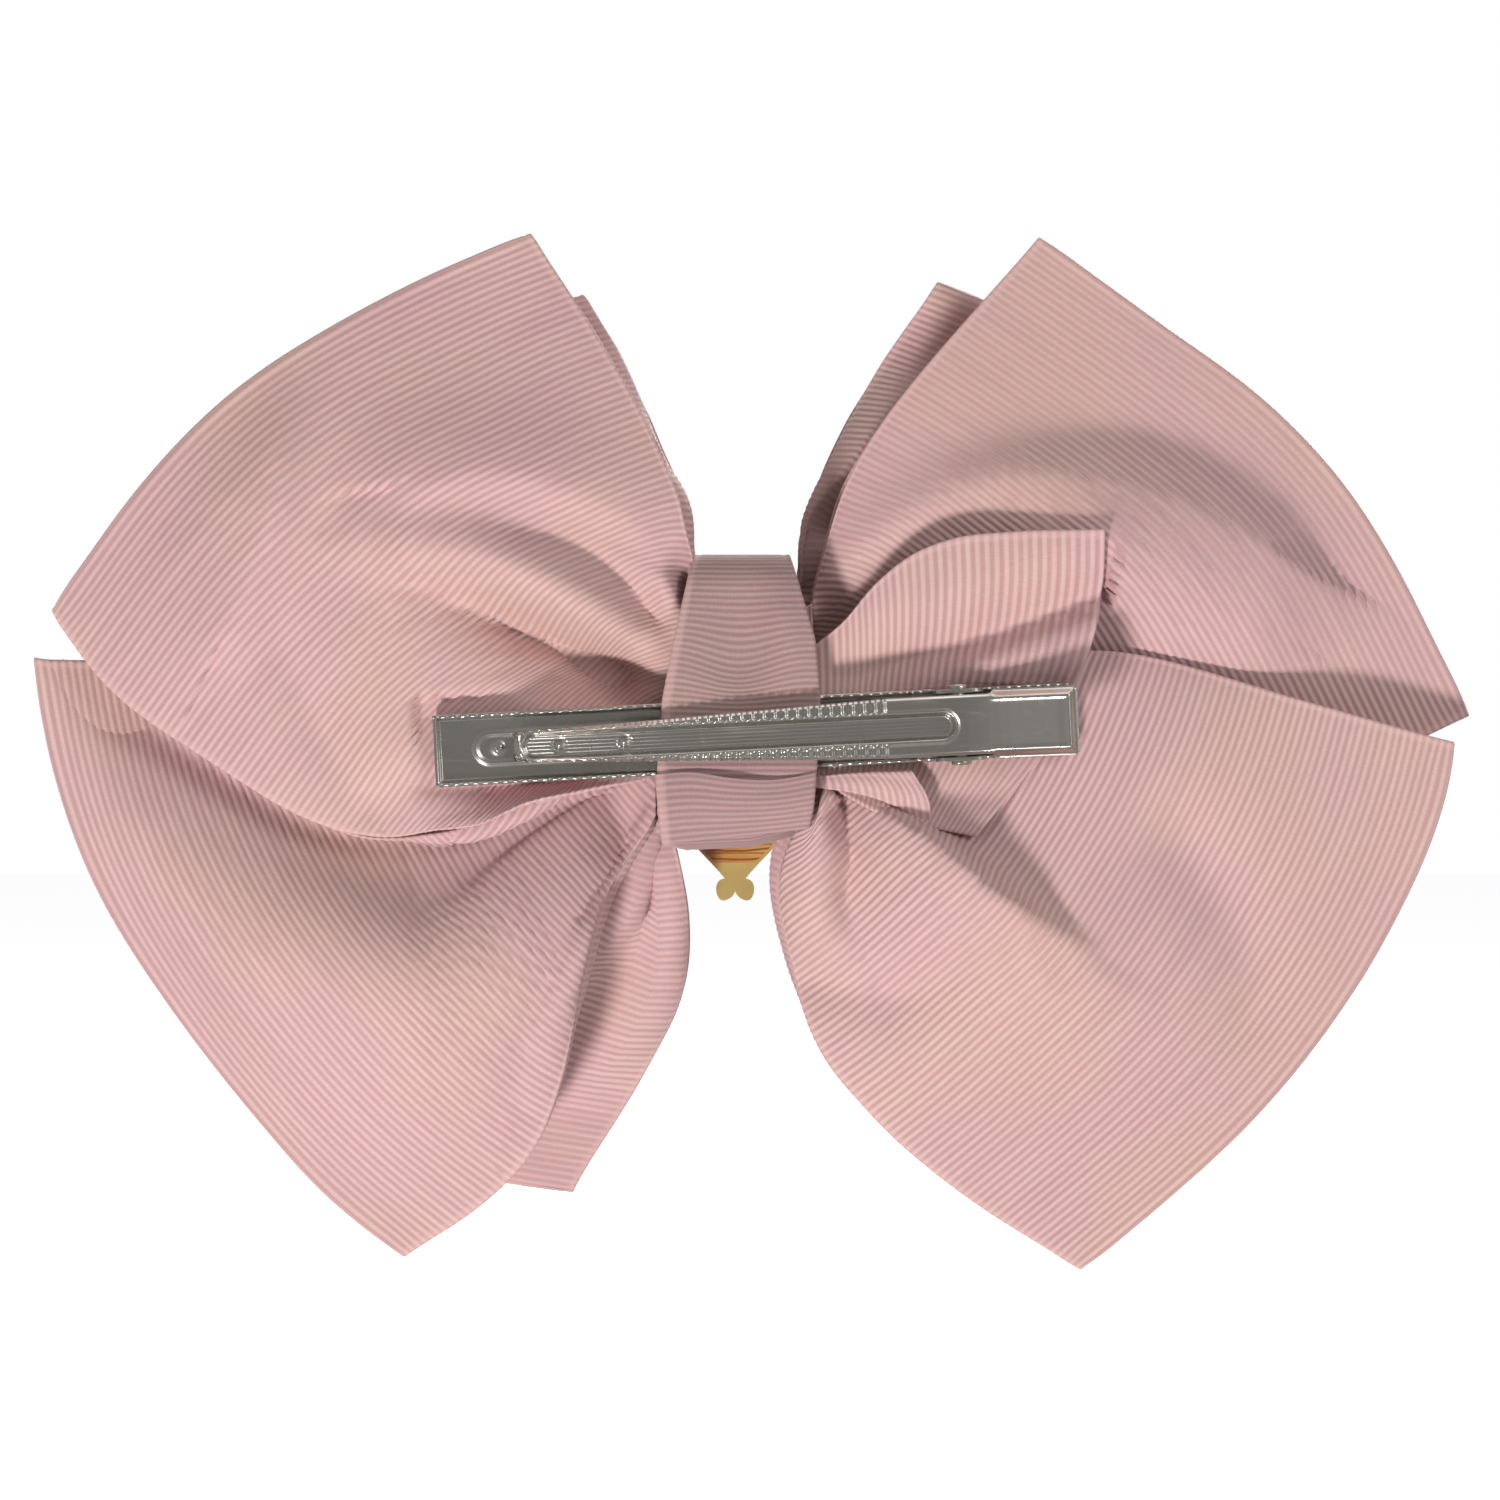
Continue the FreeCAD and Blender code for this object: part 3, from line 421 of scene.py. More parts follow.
def sculpt(S, folds):
    """S with each fold of folds worked into it."""
    out = S.copy()
    x, z = S[..., 0], S[..., 2]
    t = even(48)
    for path, rise, wide, slide, crest in folds:
        line = catmull(path, t)
        way = np.gradient(line, axis=0)
        way /= np.linalg.norm(way, axis=1, keepdims=True)
        dx, dz = x[..., None] - line[:, 0], z[..., None] - line[:, 1]
        near = np.argmin(dx * dx + dz * dz, axis=-1)
        dx, dz = (np.take_along_axis(d, near[..., None], -1)[..., 0] for d in (dx, dz))
        left = way[near, 0] * dz - way[near, 1] * dx > 0
        share = np.exp(-(np.sqrt(dx**2 + dz**2 + 0.16) / np.where(left, wide[0], wide[1])) ** crest)
        out[..., 1] -= np.interp(t, even(len(rise)), rise)[near] * share
        out[..., 0] += slide * share * way[near, 0] * (1 - t[near])
        out[..., 2] += slide * share * way[near, 1] * (1 - t[near])
    return out


# -------- ribbed ribbon meshes
def bend_grid(P, rows, cols):
    """The coarse grid P at fractional rows, one set per column, and cols, by cubic interpolation."""
    def taps(x, n):
        i = np.clip(np.floor(x).astype(int), 0, n - 2)
        f = x - i
        w = (-0.5 * f + f**2 - 0.5 * f**3, 1 - 2.5 * f**2 + 1.5 * f**3, 0.5 * f + 2 * f**2 - 1.5 * f**3,
             -0.5 * f**2 + 0.5 * f**3)
        return i, w

    j, wj = taps(cols, P.shape[1])
    ext = np.concatenate([2 * P[:, :1] - P[:, 1:2], P, 2 * P[:, -1:] - P[:, -2:-1]], 1)
    wide = sum(w[None, :, None] * ext[:, j + k] for k, w in enumerate(wj))
    ext = np.concatenate([2 * wide[:1] - wide[1:2], wide, 2 * wide[-1:] - wide[-2:-1]], 0)
    i, wi = taps(rows, P.shape[0])
    c = np.arange(len(cols))[None, :]
    return sum(w[..., None] * ext[i + k, c] for k, w in enumerate(wi))


def across(width, inner):
    """Places across a ribbon: close together at the two selvedges, then even."""
    edge = np.array([0.0, 0.25, 0.55, 0.85, 1.2])
    return np.r_[edge, np.linspace(1.2, width - 1.2, inner + 2)[1:-1], width - edge[::-1]]


def ribbed(S, s, v, width, lift=RIB_LIFT, thick=THICK, phase=0.0, pitch=RIB):
    """The outer and inner skins of a ribbed ribbon about the smooth surface S, whose rows are at lengths s
    and columns at places v, and each point's place on the flat ribbon in metres."""
    du = np.gradient(S, axis=0)
    dv = np.gradient(S, axis=1)
    normal = np.cross(du, dv)
    size = np.linalg.norm(normal, axis=-1, keepdims=True)
    normal = normal / np.maximum(size, 1e-9)
    for k in range(1, len(S)):
        flat = size[k, :, 0] < 1e-7
        normal[k][flat] = normal[k - 1][flat]
    edge = np.minimum(v, width - v)
    rib = (0.5 + 0.5 * np.cos(TURN * (s / pitch + phase))) ** 1.2
    border = 1 - 0.75 * np.exp(-((edge - 0.85) / 0.25) ** 2) + 0.35 * np.exp(-(edge / 0.35) ** 2)
    tuck = np.where(edge < 1e-6, 0.45, 1.0)
    half = (thick / 2 + lift * rib[:, None] * border[None]) * tuck[None]
    uv = np.stack(np.broadcast_arrays(s[:, None] * MM, v[None] * MM), -1)
    return S + normal * half[..., None], S - normal * half[..., None], uv


def skin_mesh(name, patches):
    """One mesh from patches of (outer skin, inner skin, uv, keep), closed along their borders."""
    verts, faces, uvs = [], [], []
    base = 0
    for outer, inner, uv, keep in patches:
        r, c = outer.shape[:2]
        count = r * c
        a = base + np.arange(count).reshape(r, c)
        front = np.stack([a[:-1, :-1], a[1:, :-1], a[1:, 1:], a[:-1, 1:]], -1)[keep]
        p = front.ravel()
        q = np.roll(front, -1, axis=1).ravel()
        border = ~np.isin(p * 10**7 + q, q * 10**7 + p)
        p, q = p[border], q[border]
        verts.append(np.concatenate([outer.reshape(-1, 3), inner.reshape(-1, 3)]))
        uvs.append(np.concatenate([uv.reshape(-1, 2)] * 2))
        faces += [front, front[:, ::-1] + count, np.stack([q, p, p + count, q + count], -1)]
        base += 2 * count
    verts, uvs, faces = np.concatenate(verts), np.concatenate(uvs), np.concatenate(faces)
    used = np.unique(faces)
    back = np.full(len(verts), -1)
    back[used] = np.arange(len(used))
    verts, uvs, faces = verts[used], uvs[used], back[faces]
    mesh = bpy.data.meshes.new(name)
    mesh.vertices.add(len(verts))
    mesh.vertices.foreach_set("co", (verts * MM).astype(np.float32).ravel())
    mesh.loops.add(faces.size)
    mesh.loops.foreach_set("vertex_index", faces.astype(np.int32).ravel())
    mesh.polygons.add(len(faces))
    mesh.polygons.foreach_set("loop_start", np.arange(0, faces.size, 4, dtype=np.int32))
    mesh.polygons.foreach_set("loop_total", np.full(len(faces), 4, np.int32))
    layer = mesh.uv_layers.new(name="UVMap")
    layer.data.foreach_set("uv", uvs[faces.ravel()].astype(np.float32).ravel())
    mesh.polygons.foreach_set("use_smooth", np.ones(len(faces), bool))
    mesh.update()
    mesh.validate()
    return new_object(name, mesh)


def loop_patch(P, lengths, phase, folds=()):
    """The ribbed skins of one settled loop. Ribs run parallel to the fold."""
    v = across(WIDTH, 56 if folds else 18)
    P = calm(P) if folds else P
    place = v / WIDTH
    back = lengths[0][0] + (lengths[0][-1] - lengths[0][0]) * place
    front = lengths[1][0] + (lengths[1][-1] - lengths[1][0]) * place
    step = RIB / 4
    s = np.arange(-math.ceil(back.max() / step), math.ceil(front.max() / step) + 1) * step
    share = np.where(s[:, None] < 0, s[:, None] / back[None], s[:, None] / front[None])
    rows = ROWS * (1 + np.clip(share, -1, 1))
    S = bend_grid(P, rows, place * COLS)
    if folds:
        back_leg = smooth(-s / 10)[:, None, None] * smooth((1 + share) * 9)[..., None]
        S += (sculpt(S, folds) - S) * back_leg
        S[..., 1] = np.maximum(S[..., 1], np.where(s[:, None] < 0, under_clip(S), ANYWHERE))
    inside = np.abs(share) < 1
    keep = inside[:-1, :-1] | inside[1:, :-1] | inside[1:, 1:] | inside[:-1, 1:]
    return *ribbed(S, s, v, WIDTH, phase=phase), keep


def coons(left, right, top, bottom, rows, cols):
    """A patch between two end curves, left and right, and two side curves, top and bottom."""
    u, v = even(rows), even(cols)
    return blend_edges(catmull(top, u), catmull(bottom, u), catmull(left, v), catmull(right, v))


def flat_patch(P, length, width, inner, lift=RIB_LIFT, thick=THICK, pitch=RIB):
    """The ribbed skins of a short piece of ribbon given as a coarse grid, rows along its length."""
    v = across(width, inner)
    s = np.arange(0, length + 1e-6, pitch / 4)
    rows = np.broadcast_to((s / length * (P.shape[0] - 1))[:, None], (len(s), len(v)))
    S = bend_grid(P, np.clip(rows, 0, P.shape[0] - 1), v / width * (P.shape[1] - 1))
    keep = np.ones((len(s) - 1, len(v) - 1), bool)
    return *ribbed(S, s, v, width, lift=lift, thick=thick, pitch=pitch), keep


# -------- tails and knot band
def tail_long():
    """The long tail's grid: a wide cut end that runs on under the clip."""
    left = [(8.6, 10.4), (8.8, 3.0), (8.6, -5.0)]
    right = [(42.6, 24.0), (42.5, 18.0), (41.4, 11.7), (39.6, 6.6), (35.1, -2.6), (30.5, -8.3), (27.6, -11.9)]
    top = [(8.6, 10.4), (11.7, 12.9), (16.2, 18.0), (20.2, 21.1), (24.8, 22.9), (31.7, 23.7), (42.6, 24.0)]
    bottom = [(8.6, -5.0), (17.0, -9.5), (27.6, -11.9)]
    x, z = np.moveaxis(coons(left, right, top, bottom, 24, 30), -1, 0)
    return np.stack([x, tail_depth(x, z) - 0.9 * smooth((-6.8 - z) / 3.0), z], -1)


def tail_short():
    """The short tail's grid: a small cut end below the clip."""
    left = [(8.6, 0.3, -4.8), (8.6, 0.3, -6.2)]
    right = [(20.2, -0.6, -4.1), (22.2, -0.9, -7.7), (22.5, -0.3, -11.0)]
    top = [(8.6, 0.3, -4.8), (14.5, -0.1, -4.3), (20.2, -0.6, -4.1)]
    bottom = [(8.6, 0.3, -6.2), (11.7, 0.1, -6.5), (17.4, -0.1, -8.0), (22.5, -0.3, -11.0)]
    return coons(left, right, top, bottom, 10, 12)


def band_grid(rows=150, cols=26):
    """The band's first turn: narrow over the knot's top, wide at the clip, its lower edge slanted."""
    path = [(9.0, 21.0), (5.2, 20.9), (2.2, 20.2), (0.2, 18.4), (-0.9, 15.6), (-1.5, 12.0), (-1.8, 9.0),
            (-2.0, 6.0), (-2.05, 3.0), (-2.1, 0.0), (-2.05, -3.0), (-2.0, -5.6), (-1.6, -8.4), (-0.6, -11.0),
            (1.2, -12.9), (4.0, -13.6), (9.0, -13.6), (15.0, -13.5), (18.6, -12.0), (19.5, -8.0), (19.6, 4.0),
            (19.5, 16.0), (18.4, 19.8), (14.0, 21.0), (9.0, 21.0)]
    y, z = catmull(path, even(rows)).T
    left = -np.interp(z, [-13.6, -12.9, -4.7, 4.1, 9.9, 18.0, 21.2], [7.4, 8.9, 9.7, 9.1, 8.0, 6.2, 5.4])
    right = np.interp(z, [-13.6, -10.9, -4.1, 4.1, 11.1, 18.0, 21.2], [7.0, 8.1, 9.0, 9.4, 8.8, 6.8, 5.8])
    inside = smooth((y - 2) / 4)
    left = left * (1 - inside) + np.clip(left, -6.4, -5.0) * inside
    right = right * (1 - inside) + np.clip(right, 5.0, 6.4) * inside
    v = even(cols)
    X = left[:, None] + (right - left)[:, None] * v[None]
    P = np.stack([X] + [np.repeat(c[:, None], cols, 1) for c in (y, z)], -1)
    clipside = smooth((3 - y) / 3)[:, None]
    upper = np.exp(-((z - 12.5) / 5.5) ** 2)[:, None]
    dish = np.sin(math.pi * np.clip((v - 0.02) / 0.9, 0, 1))[None] ** 2
    P[..., 1] += clipside * upper * (1.1 * dish - 0.9 * np.exp(-((v[None] - 0.80) / 0.16) ** 2))
    P[..., 2] -= clipside * np.exp(-((z - 9.0) / 4.5) ** 2)[:, None] * 1.7 * dish
    lift = np.interp(P[..., 0], (-9.0, 1.3, 8.0), (0.3, 0.8, 2.5))
    P[..., 2] += lift * smooth((-5.0 - z) / 8)[:, None]
    return P


def band_lower():
    """The band's second turn below the clip, whose wrinkled edge shows under the jaw."""
    left = [(-9.9, -2.35, -4.6), (-9.6, -2.3, -8.6), (-9.1, -0.9, -12.9)]
    right = [(8.9, -2.35, -4.4), (8.7, -2.3, -7.6), (8.1, -0.9, -11.0)]
    top = [(-9.9, -2.35, -4.6), (-6.0, -2.5, -4.3), (-1.0, -2.9, -5.0), (4.0, -2.5, -5.2), (8.9, -2.35, -4.4)]
    bottom = [(-9.1, -0.9, -12.9), (-2.0, -0.8, -12.1), (8.1, -0.9, -11.0)]
    return coons(top, bottom, left, right, 14, 22)


def root_bridge(first, second, depth, flip):
    """The pleated ribbon inside the knot, from one loop's root to the opposite loop's, at one depth."""
    ends = [[np.array(loop[side][0]) for side in ("a", "b")] for loop in (first, second)]
    if flip:
        ends[1] = ends[1][::-1]
    u, v = even(12)[:, None], even(30)[None]
    xz = sum(w[..., None] * e for w, e in (((1 - u) * (1 - v), ends[0][0]), ((1 - u) * v, ends[0][1]),
                                           (u * (1 - v), ends[1][0]), (u * v, ends[1][1])))
    y = depth + 0.35 * np.sin(TURN * 5 * v) * np.ones_like(u)
    return np.stack([xz[..., 0], y, xz[..., 1]], -1)


# -------- clip, in its own (along, out, across) frame, in millimetres
TILT, ROLL = math.radians(3.0), math.radians(2.5)
SHEET = 0.5
HINGE = 25.6  # place of the pin along the clip
BASE = dict(tip=-35.7, end=38.6, half=4.2, crimp=1.15, dimple=-28.3)
JAW = dict(tip=-26.5, end=39.3, tooth=1.3, teeth_end=17.2, channel=1.55, channel_end=25.1, tab=28.8)
STARS = (-21.1, -13.5)  # places of the jaw's two dimples
JAW_RISE = ((-26.5, 1.45), (-22.0, 2.5), (-16.0, 3.35), (-9.0, 3.95), (0.0, 4.3), (9.0, 4.5), (17.2, 4.6),
            (25.6, 4.7), (29.0, 5.1), (33.0, 6.3), (39.3, 8.4))
JAW_HALF = ((-26.5, 0.8), (-26.25, 1.4), (-25.6, 1.75), (17.2, 3.5), (29.2, 3.5), (29.7, 4.0), (38.8, 4.0),
            (39.3, 3.5))


def clip_to_row(points):
    """Points of the clip's own frame, in the row frame."""
    along, out, over = np.moveaxis(np.asarray(points, float), -1, 0)
    y, z = -out * math.cos(ROLL) - over * math.sin(ROLL), -out * math.sin(ROLL) + over * math.cos(ROLL)
    x, z = along * math.cos(TILT) - z * math.sin(TILT), along * math.sin(TILT) + z * math.cos(TILT)
    return np.stack([x, y, z], -1)


def jaw_height(along):
    """How far the jaw's middle line stands out, with its bends rounded."""
    a, h = np.array(JAW_RISE).T
    return sum(np.interp(along + shift, a, h) for shift in (-2.5, -1.25, 0, 1.25, 2.5)) / 5


def jaw_half(along):
    """Half the jaw's width."""
    return np.interp(along, *np.array(JAW_HALF).T)


def slot_distance(along, over, start, end, half):
    """Distance from the middle line of a round-ended slot."""
    return np.hypot(along - np.clip(along, start + half, end - half), over)


def hump(distance, width):
    """A round bump, 1 at its middle."""
    return np.exp(-(distance / width) ** 2)


def points_round(along, over, at, reach, turns, width):
    """Three small raised points about a place on the middle line."""
    return sum(hump(np.hypot(along - at - reach * math.cos(t), over - reach * math.sin(t)), width)
               for t in turns)


def stamped(name, along, share, half, top, under):
    """A closed sheet-steel mesh from heights over a plan, with columns at shares of its half-width."""
    A = np.repeat(along[:, None], len(share), 1)
    C = half(along)[:, None] * share[None]
    skins = [clip_to_row(np.stack([A, height(A, C), C], -1)) for height in (under, top)]
    keep = np.ones((len(along) - 1, len(share) - 1), bool)
    return skin_mesh(name, [(*skins, np.stack([A, C], -1) * MM, keep)])


def base_top(along, over):
    """The base arm's inner face: crimped rims all round, a long stamped bead and a dimple."""
    side = np.interp(along, [19.6, 20.4, 30.6, 31.2], [1.15, 0.6, 0.6, 0.95])
    crimp = 0.06 * np.sin(TURN * along / BASE["crimp"]) * (np.abs(over) > 3.8)
    rim = (side + crimp) * smooth((np.abs(over) - 3.45) / 0.38)
    for end, height in ((BASE["tip"], 1.15), (BASE["end"], 0.9)):
        rim = np.maximum(rim, height * smooth((0.75 - np.abs(along - end)) / 0.38))
    rounding = 0.12 * hump(BASE["half"] - np.abs(over), 0.12)
    bead = 0.26 * hump(slot_distance(along, over, -30.9, 13.0, 1.7) - 1.7, 0.24)
    dimple = 0.42 * hump(np.hypot(along - BASE["dimple"], over), 0.62)
    dimple += 0.22 * points_round(along, over, BASE["dimple"], 0.42, (0.4, 2.5, 4.6), 0.2)
    bow = -0.10 * (1 - (over / 3.6) ** 2) + 0.02 * np.sin(along / 3.1) + 0.012 * np.sin(along / 1.3 + over)
    return rim - rounding + bead + dimple + bow


def jaw_top(along, over):
    """The jaw's outer face: toothed strips each side of a channel, two star dimples and a turned-down tab."""
    d = slot_distance(along, over, JAW["tip"] + 1.1, JAW["channel_end"], JAW["channel"])
    tooth = smooth(np.cos(TURN * along / JAW["tooth"]) * 1.2 + 0.5)
    strip = smooth((JAW["teeth_end"] - along) / 0.4) * smooth((d - 1.75) / 0.2)
    h = jaw_height(along) + strip * (0.30 * tooth - 0.08)
    h += 0.16 * hump(d - 1.78, 0.22) - 0.62 * smooth((1.62 - d) / 0.55)
    h += 0.018 * np.sin(TURN * over / 0.42) * (d < 1.1)
    for at in STARS:
        r = np.hypot(along - at, over)
        h += 0.30 * hump(r, 0.42) - 0.14 * hump(r - 0.72, 0.16)
        h += 0.16 * points_round(along, over, at, 0.5, (0.3, 2.4, 4.5), 0.16)
    h += 0.03 * hump(along + 4.2 + 0.12 * over, 0.06) * (d < 1.2)
    tab = smooth((along - JAW["tab"]) / 1.2)
    edge = np.maximum(np.abs(over) - 3.02, along - (JAW["end"] - 1.05))
    h -= tab * 1.15 * smooth(edge / 0.95)
    h += tab * 0.10 * hump(edge + 0.1, 0.22)
    h -= (1 - tab) * 0.35 * smooth((np.abs(over) - jaw_half(along) + 0.4) / 0.4)
    return h + 0.03 * np.sin(along / 2.3) * smooth((along - 18) / 4)


def jaw_under(along, over):
    """The jaw's gripping face."""
    tooth = smooth(np.cos(TURN * (along / JAW["tooth"] - 0.5)) * 1.2 + 0.4)
    tooth = 0.45 * tooth * smooth((JAW["teeth_end"] - along) / 0.4)
    tab = smooth((along - JAW["tab"]) / 1.2)
    edge = np.maximum(np.abs(over) - 3.4, along - (JAW["end"] - 0.65))
    return jaw_height(along) - SHEET - 0.25 - tooth + tab * 0.2 - tab * 0.7 * smooth(edge / 0.5)


def flange(name, profile, low, high):
    """A flat ear of sheet steel: an (along, out) outline between two places across the clip."""
    mesh = bpy.data.meshes.new(name)
    count = len(profile)
    points = [(a, o, c) for c in (low, high) for a, o in profile]
    faces = [tuple(range(count))[::-1], tuple(range(count, 2 * count))]
    faces += [(i, (i + 1) % count, (i + 1) % count + count, i + count) for i in range(count)]
    mesh.from_pydata([tuple(p) for p in clip_to_row(points) * MM], [], faces)
    mesh.validate()
    obj = new_object(name, mesh)
    round_edges(obj, 0.0001)
    return obj


def round_edges(obj, width):
    """A narrow bevel on every sharp edge."""
    bevel = obj.modifiers.new("soft_edges", "BEVEL")
    bevel.width, bevel.segments = width, 2
    bevel.limit_method, bevel.angle_limit = "ANGLE", math.radians(35)


def ear_profile(half, low, high, radius):
    """A rectangle about the hinge whose far corners are rounded."""
    radius_out = math.copysign(radius, high - low)
    right = [(HINGE + half - radius * (1 - math.cos(t)), high - radius_out * (1 - math.sin(t)))
             for t in np.linspace(0, math.pi / 2, 7)]
    left = [(2 * HINGE - x, o) for x, o in right[::-1]]
    return [(HINGE + half, low)] + right + left + [(HINGE - half, low)]


def build_clip(material):
    """The clip's two arms and their ears, in place of the plain CAD ones."""
    rim = np.linspace(0.80, 1.0, 10)
    fine = np.unique(np.r_[np.linspace(-1, 1, 41), -rim, rim])
    along = np.r_[np.linspace(-35.7, -34.7, 8)[:-1], np.arange(-34.7, 37.5, 0.17), np.linspace(37.6, 38.6, 8)]
    base = stamped("clip_base", along, fine, lambda a: np.full_like(a, BASE["half"]), base_top,
                   lambda a, c: np.full_like(a, -SHEET))
    along = np.r_[np.linspace(-26.5, -25.5, 9)[:-1], np.arange(-25.5, 38.0, 0.13),
                  np.linspace(38.05, 39.3, 12)]
    jaw = stamped("clip_jaw", along, np.unique(np.r_[np.linspace(-1, 1, 61), [-0.99, 0.99]]),
                  jaw_half, jaw_top, jaw_under)
    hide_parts("clip_base_arm")
    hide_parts("clip_jaw_arm")
    steel = [(base, "bow"), (jaw, "jaw")]
    for side, sign in (("upper", 1), ("lower", -1)):
        low, high = sorted((sign * 4.2, sign * 3.7))
        steel.append((flange(f"base_ear_{side}", ear_profile(3.0, 0.0, 4.0, 1.4), low, high), "bow"))
        low, high = sorted((sign * 3.45, sign * 2.95))
        steel.append((flange(f"jaw_ear_{side}", ear_profile(2.0, 4.4, 1.2, 1.2), low, high), "jaw"))
    for obj, body in steel:
        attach(obj, body)
        obj.data.materials.append(material)


# -------- materials
def srgb(r, g, b):
    """A linear colour from 0-255 display values."""
    shares = (r / 255, g / 255, b / 255)
    return tuple(c / 12.92 if c <= 0.04045 else ((c + 0.055) / 1.055) ** 2.4 for c in shares) + (1,)


class Nodes:
    """The node tree of a material or a world, with short calls for the nodes used here."""

    def __init__(self, owner):
        owner.use_nodes = True
        self.owner, self.tree = owner, owner.node_tree
        self.shader = self.tree.nodes.get("Principled BSDF")

    def put(self, socket, value):
        if isinstance(value, bpy.types.NodeSocket):
            self.tree.links.new(value, socket)
        else:
            socket.default_value = value

    def add(self, kind, sockets=(), **values):
        """A new node with its settings, and what goes into its sockets, by name or number."""
        node = self.tree.nodes.new(kind)
        for key, value in values.items():
            setattr(node, key, value)
        for key, value in dict(sockets).items():
            self.put(node.inputs[key], value)
        return node

    def math(self, operation, a, b=0.0, c=0.0):
        return self.add("ShaderNodeMath", {0: a, 1: b, 2: c}, operation=operation).outputs[0]

    def ramp(self, value, low, high, first=0.0, last=1.0):
        limits = enumerate((value, low, high, first, last))
        return self.add("ShaderNodeMapRange", limits, interpolation_type="SMOOTHSTEP").outputs[0]

    def mix(self, share, a, b, blend="MIX"):
        sockets = {"Factor": share, "A": a, "B": b}
        node = self.add("ShaderNodeMix", sockets, data_type="RGBA", blend_type=blend)
        return [o for o in node.outputs if o.type == "RGBA"][0]

    def noise(self, vector, scale, detail=2.0, rough=0.5):
        sockets = {"Vector": vector, "Scale": scale, "Detail": detail, "Roughness": rough}
        return self.add("ShaderNodeTexNoise", sockets).outputs["Fac"]

    def coordinates(self, output="Object"):
        return self.add("ShaderNodeTexCoord").outputs[output]

    def stretched(self, vector, factors):
        return self.add("ShaderNodeMapping", {"Vector": vector, "Scale": factors}).outputs[0]

    def split(self, vector):
        return self.add("ShaderNodeSeparateXYZ", {0: vector}).outputs

    def bump(self, height, distance, strength=1.0, after=None):
        node = self.add("ShaderNodeBump", {"Height": height, "Distance": distance, "Strength": strength})
        if after:
            self.put(node.inputs["Normal"], after)
        return node.outputs[0]

    def set(self, **values):
        for key, value in values.items():
            self.put(self.shader.inputs[key.replace("_", " ")], value)


def grosgrain(name, width, pitch=RIB, dim=1.0):
    """Ribbed polyester ribbon: cords across it, painted shade in the grooves between them, fine warp threads
    over them, and a soft sheen.
    """
    n = Nodes(bpy.data.materials.new(name))
    uv = n.add("ShaderNodeUVMap", uv_map="UVMap").outputs[0]
    along, place = n.split(uv)[:2]
    turn = n.math("MULTIPLY", along, TURN / (pitch * MM))
    crest = n.math("MULTIPLY_ADD", n.math("COSINE", turn), 0.5, 0.5)
    edge = n.math("MINIMUM", place, n.math("SUBTRACT", width * MM, place))
    selvedge = n.ramp(edge, 0.0005, 0.0011, 1.0, 0.0)
    patches = n.noise(n.coordinates(), 38.0, 2.0, 0.55)
    threads = n.noise(n.stretched(uv, (900.0, 9000.0, 1.0)), 1.0, 1.0, 0.5)
    slubs = n.noise(n.stretched(uv, (1052.0, 60.0, 1.0)), 1.0, 1.0, 0.6)
    body = n.mix(n.ramp(patches, 0.38, 0.62), srgb(214, 181, 173), srgb(211, 175, 177))
    body = n.mix(n.math("MULTIPLY", n.ramp(slubs, 0.35, 0.7), 0.25), body, srgb(230, 200, 192))
    body = n.mix(n.math("MULTIPLY", n.ramp(threads, 0.35, 0.65), 0.14), body, srgb(176, 134, 131))
    body = n.mix(1.0, body, (dim, dim, dim, 1), "MULTIPLY")
    # painted shade: the colour between the cords is darkened where the grooves would lie in shade, and the
    # crests keep the ribbon's own colour
    painted_groove_shade = n.mix(1.0, body, srgb(232, 217, 215), "MULTIPLY")
    shade = n.ramp(crest, 0.10, 0.95)
    colour = n.mix(shade, painted_groove_shade, body)
    colour = n.mix(n.math("MULTIPLY", selvedge, 0.35), colour, srgb(224, 184, 178))
    fine = n.bump(threads, 0.00006, 0.55)
    n.set(Base_Color=colour, Roughness=n.ramp(slubs, 0.3, 0.7, 0.50, 0.62), Normal=fine)
    n.set(Sheen_Weight=0.3, Sheen_Roughness=0.45, Sheen_Tint=(1.0, 0.90, 0.90, 1.0), Specular_IOR_Level=0.38)
    return n.owner


def metal(name, colour, roughness, rub, shine=1.0):
    """Plated or sprung steel: slight unevenness, fine rubs along it, and cloudier patches."""
    n = Nodes(bpy.data.materials.new(name))
    where = n.coordinates()
    cloud = n.noise(where, 160.0, 3.0, 0.55)
    rubs = n.noise(n.stretched(where, (0.12, 1.0, 1.0)), 900.0, 2.0, 0.6)
    tone = n.mix(n.ramp(cloud, 0.35, 0.7), colour, tuple(c * 0.86 for c in colour[:3]) + (1,))
    rough = n.math("ADD", n.ramp(cloud, 0.3, 0.7, roughness, roughness + rub),
                   n.ramp(rubs, 0.55, 0.8, 0.0, rub))
    waves = n.bump(n.noise(where, 420.0, 1.0, 0.5), 0.00005, 0.35)
    n.set(Base_Color=tone, Metallic=shine, Roughness=rough, Normal=n.bump(rubs, 0.00002, 0.5, waves))
    return n.owner


